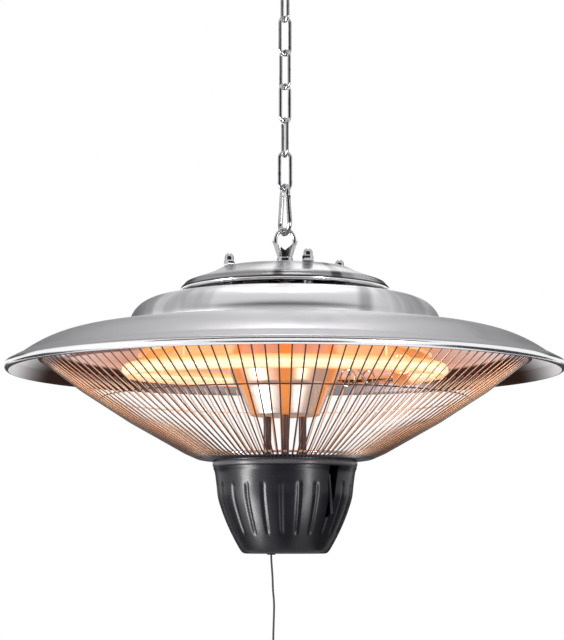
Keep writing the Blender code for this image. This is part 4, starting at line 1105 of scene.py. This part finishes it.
dress(pin, chrome, "gate", "chrome_steel", "gate_pin")

# %% [markdown]
# The eye nut is a forging: an oval bow rises from two horns that leave a V between them, on a short
# cone and a round base over a washer. The stud, the lock nut and the guard's brackets, and the plain
# parts inside the cup and the cap, are shown as CAD made them, in zinc and in cream.

# %% Eye nut and washer, and the CAD pieces that stay
BOW_WIRE, BOW_R, BOW_H = 0.0029, 0.0073, 0.0099
base_low, bow_high = heights("eye_nut")
horn_low, horn_top = base_low + 0.0071, base_low + 0.0201
bow_line = arc((0, bow_high - BOW_WIRE / 2 - BOW_H), BOW_R, sweep(-20, 200, 40), BOW_H)
bow = bent("bow", [[(x, 0, z) for x, z in bow_line]], BOW_WIRE / 2, round_steps=6)
horn_line = [(0, horn_top), (0.0100, horn_top), (0.0056, horn_low), (0.0060, horn_low - 0.0005), (0.0060, base_low),
             (0, base_low)]
horn = spun("horn", eased(horn_line, 0.0002, False), 48, closed=False)
vee_line = mm((0, -8), (12.5, 2.2), (12.5, 8), (-12.5, 8), (-12.5, 2.2))
vee = prism("vee", vee_line, 0.04, Matrix.Translation((0, 0, horn_top)))
dress(merged("forged_eye_nut", cut_away(horn, vee), bow), chrome, "heater", "chrome_steel", "eye_nut")
washer = spun("plain_washer", eased(tube_outline(0.0043, 0.0078, *heights("top_washer")), 0.0003), 48)
dress(washer, zinc, "heater", "zinc_steel", "top_washer")
for material, names in ((zinc, ("hanger_stud", "hanger_nut", "guard_bracket_1", "guard_bracket_2", "guard_bracket_3")),
                        (cream, ("terminal_block", "pull_switch", "switch_plunger"))):
    for name in names:
        paint(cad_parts[name], material)

# %% [markdown]
# A cable gland sits at the back of the cap: a hexagon, a domed clamping nut, and its bore.

# %% Cable gland
seat = heights("top_cap")[1] + 0.0003
gland_at = middle_of("cable_gland")
six_line = mm((3.1, 0), (7.7, 0), (8, 0.4), (8, 3.6), (7.6, 4), (3.1, 4))
six = spun("gland_hexagon", eased(six_line, 0.0002), 6, gland_at, base=seat)
dome_line = mm((3.1, 4), (6.6, 4), (6.6, 7.2), (5.8, 8.6), (4.5, 9.2), (3.1, 9.2))
dome = spun("gland_dome", eased(dome_line, 0.0005), 48, gland_at, base=seat)
neck = spun("gland_neck", tube_outline(0.0031, 0.0054, heights("cable_gland")[0], seat + 0.0002), 32, gland_at)
dress(merged("ribbed_cable_gland", six, dome, neck), black, "heater", "black_plastic", "cable_gland")

# %% [markdown]
# At the top a round plate with two pan-head screws holds a closed eye. The photograph ends below it,
# so this is the usual fixing for such a chain.

# %% Ceiling plate, eye and screws
EYE_R, EYE_WIRE, EYE_NECK, EYE_NECK_R, COLLAR_R = 0.0085, 0.004, 0.006, 0.0028, 0.0062
SCREW_R, HEAD_R, HEAD_H = 0.0021, 0.0044, 0.0024
plate_low = heights("ceiling_plate")[0]
plate_line = mm((3.1, 2.8), (3.1, 0), (33.5, 0), (35, 1.2)) + [(0.035, -plate_low), (0, -plate_low), (0, 0.0028)]
plate = spun("ceiling_rose", eased(plate_line, 0.0006, False), 96, closed=False, base=plate_low)
dress(plate, zinc, "ceiling", "zinc_steel", "ceiling_plate")
eye_turn = Matrix.Rotation(math.radians(30), 4, "Z")
eye_round = arc((0, plate_low - EYE_NECK - EYE_R), EYE_R, [7.5 * i for i in range(48)])
eye = bent("eye", [[eye_turn @ Vector((x, 0, z)) for x, z in eye_round]], EYE_WIRE / 2, True, round_steps=6)
neck_line = [(0, -EYE_NECK - 0.001), (EYE_NECK_R, -EYE_NECK - 0.001), (EYE_NECK_R, -0.0023), (COLLAR_R, -0.0023),
             (COLLAR_R, -0.0003), (EYE_NECK_R, -0.0003), (EYE_NECK_R, 0.0025), (0, 0.0025)]
eye_neck = spun("eye_neck", eased(neck_line, 0.0003, False), 40, closed=False, base=plate_low)
dress(merged("ceiling_eye_bolt", eye, eye_neck), zinc, "ceiling", "zinc_steel", "ceiling_hook")
head_top = plate_low - 0.0003
head_line = [(0, -0.0003), (SCREW_R, -0.0003), (SCREW_R, head_top), (HEAD_R, head_top)]
head_line += [(HEAD_R * math.cos(a) ** 0.6, head_top - HEAD_H * math.sin(a))
              for a in map(math.radians, range(15, 90, 15))]
for n in (1, 2):
    spot = (middle_of(f"plate_screw_{n}")[0], 0)
    head = spun(f"pan_screw_{n}", head_line + [(0, head_top - HEAD_H)], 40, spot, closed=False)
    groove = prism(f"groove_{n}", tube_outline(-0.006, 0.006, -0.001, 0.001), 0.0009,
                   Matrix.Translation((spot[0], 0, heights(f"plate_screw_{n}")[0])))
    dress(cut_away(head, groove), zinc, "ceiling", "zinc_steel", f"plate_screw_{n}")

# %% [markdown]
# The studio is plain. A pale floor lies well below and glows a little, so that it fades into the
# surround. The camera and every reflection see that surround in white, and matt surfaces get a softer
# light from it. Four soft boxes stand about the heater, and seven dark cards, which only reflections
# see, give the plated wires and the cup their dark lines.

# %% Floor, light and surround
FLOOR_REACH, FLOOR_LOW = 8, -3.4
floor_paint = finish("floor_paint", (0.9, 0.9, 0.9), 0.0, 0.8, Emission_Color=(1.0, 1.0, 1.0), Emission_Strength=0.32)
card_paint = finish("card_paint", (0.02, 0.02, 0.02), 0.0, 1.0)


def board(name, paint, corners):
    mesh = bpy.data.meshes.new(name)
    mesh.from_pydata(corners, [], [(0, 1, 2, 3)])
    mesh.materials.append(paint)
    return mesh_object(name, mesh)


def card(name, centre, wide, high, turn=0):
    """A board that only reflections see."""
    place = Matrix.Translation(centre) @ Matrix.Rotation(math.radians(turn), 4, "Z")
    corners = tube_outline(-wide / 2, wide / 2, -high / 2, high / 2)
    made = board(name, card_paint, [place @ Vector((x, 0, z)) for x, z in corners])
    made.visible_camera = made.visible_diffuse = made.visible_shadow = False


def soft_box(name, spot, aim, size, power):
    data = bpy.data.lights.new(name, "AREA")
    data.shape, data.size, data.size_y, data.energy = "RECTANGLE", size[0], size[1], power
    lamp = bpy.data.objects.new(name, data)
    lamp.location = spot
    lamp.rotation_euler = (Vector(aim) - Vector(spot)).to_track_quat("-Z", "Y").to_euler()
    bpy.context.scene.collection.objects.link(lamp)


floor_corners = tube_outline(-FLOOR_REACH, FLOOR_REACH, -FLOOR_REACH, FLOOR_REACH)
floor = board("floor", floor_paint, [(x, y, FLOOR_LOW) for x, y in floor_corners])
world = bpy.data.worlds.new("studio")
bpy.context.scene.world = world
world.use_nodes = True
world.node_tree.nodes.clear()
sky = Sheet(world.node_tree)
rays = sky.add("ShaderNodeLightPath").socket.node.outputs
camera_ray, glossy_ray, clear_ray = (
    Signal(sky, rays[label]) for label in ("Is Camera Ray", "Is Glossy Ray", "Is Transmission Ray"))
shown = sky.maths("MINIMUM", camera_ray + glossy_ray + clear_ray, 1.0)
plain = sky.add("ShaderNodeBackground", ((0.95, 0.96, 1.0), 0.55))
white = sky.add("ShaderNodeBackground", ((1, 1, 1), 1.0))
mixed = sky.add("ShaderNodeMixShader", (shown, plain, white))
world.node_tree.links.new(mixed.socket, world.node_tree.nodes.new("ShaderNodeOutputWorld").inputs[0])
soft_box("key_box", (-1.62, -0.70, -1.0), (0, 0, -0.45), (0.46, 1.6), 58)
soft_box("fill_box", (1.1, -1.35, -0.95), (0, 0, -0.45), (0.24, 1.4), 18)
soft_box("top_box", (0.02, 0.35, 1.5), (0, 0, -0.35), (0.45, 0.8), 9)
soft_box("back_strip", (0.05, 1.5, 1.0), (0, 0, -0.35), (0.35, 1.3), 1.6)
card("front_card", (0.10, -0.9, 0.12), 2.5, 0.50)
card("back_left_card", (-0.83, 1.0, 0.15), 1.2, 0.54)
card("back_right_card", (0.83, 1.0, 0.15), 1.2, 0.54)
card("low_back_card", (0.0, 1.0, -0.75), 1.5, 0.84)
card("cup_card", (0.0, -0.35, -0.75), 0.30, 0.62)
card("low_right_card", (1.0, 0.25, -1.0), 1.5, 0.9, 90)
card("low_left_card", (-1.1, 0.75, -1.0), 1.0, 0.9, 90)
print("studio ready")
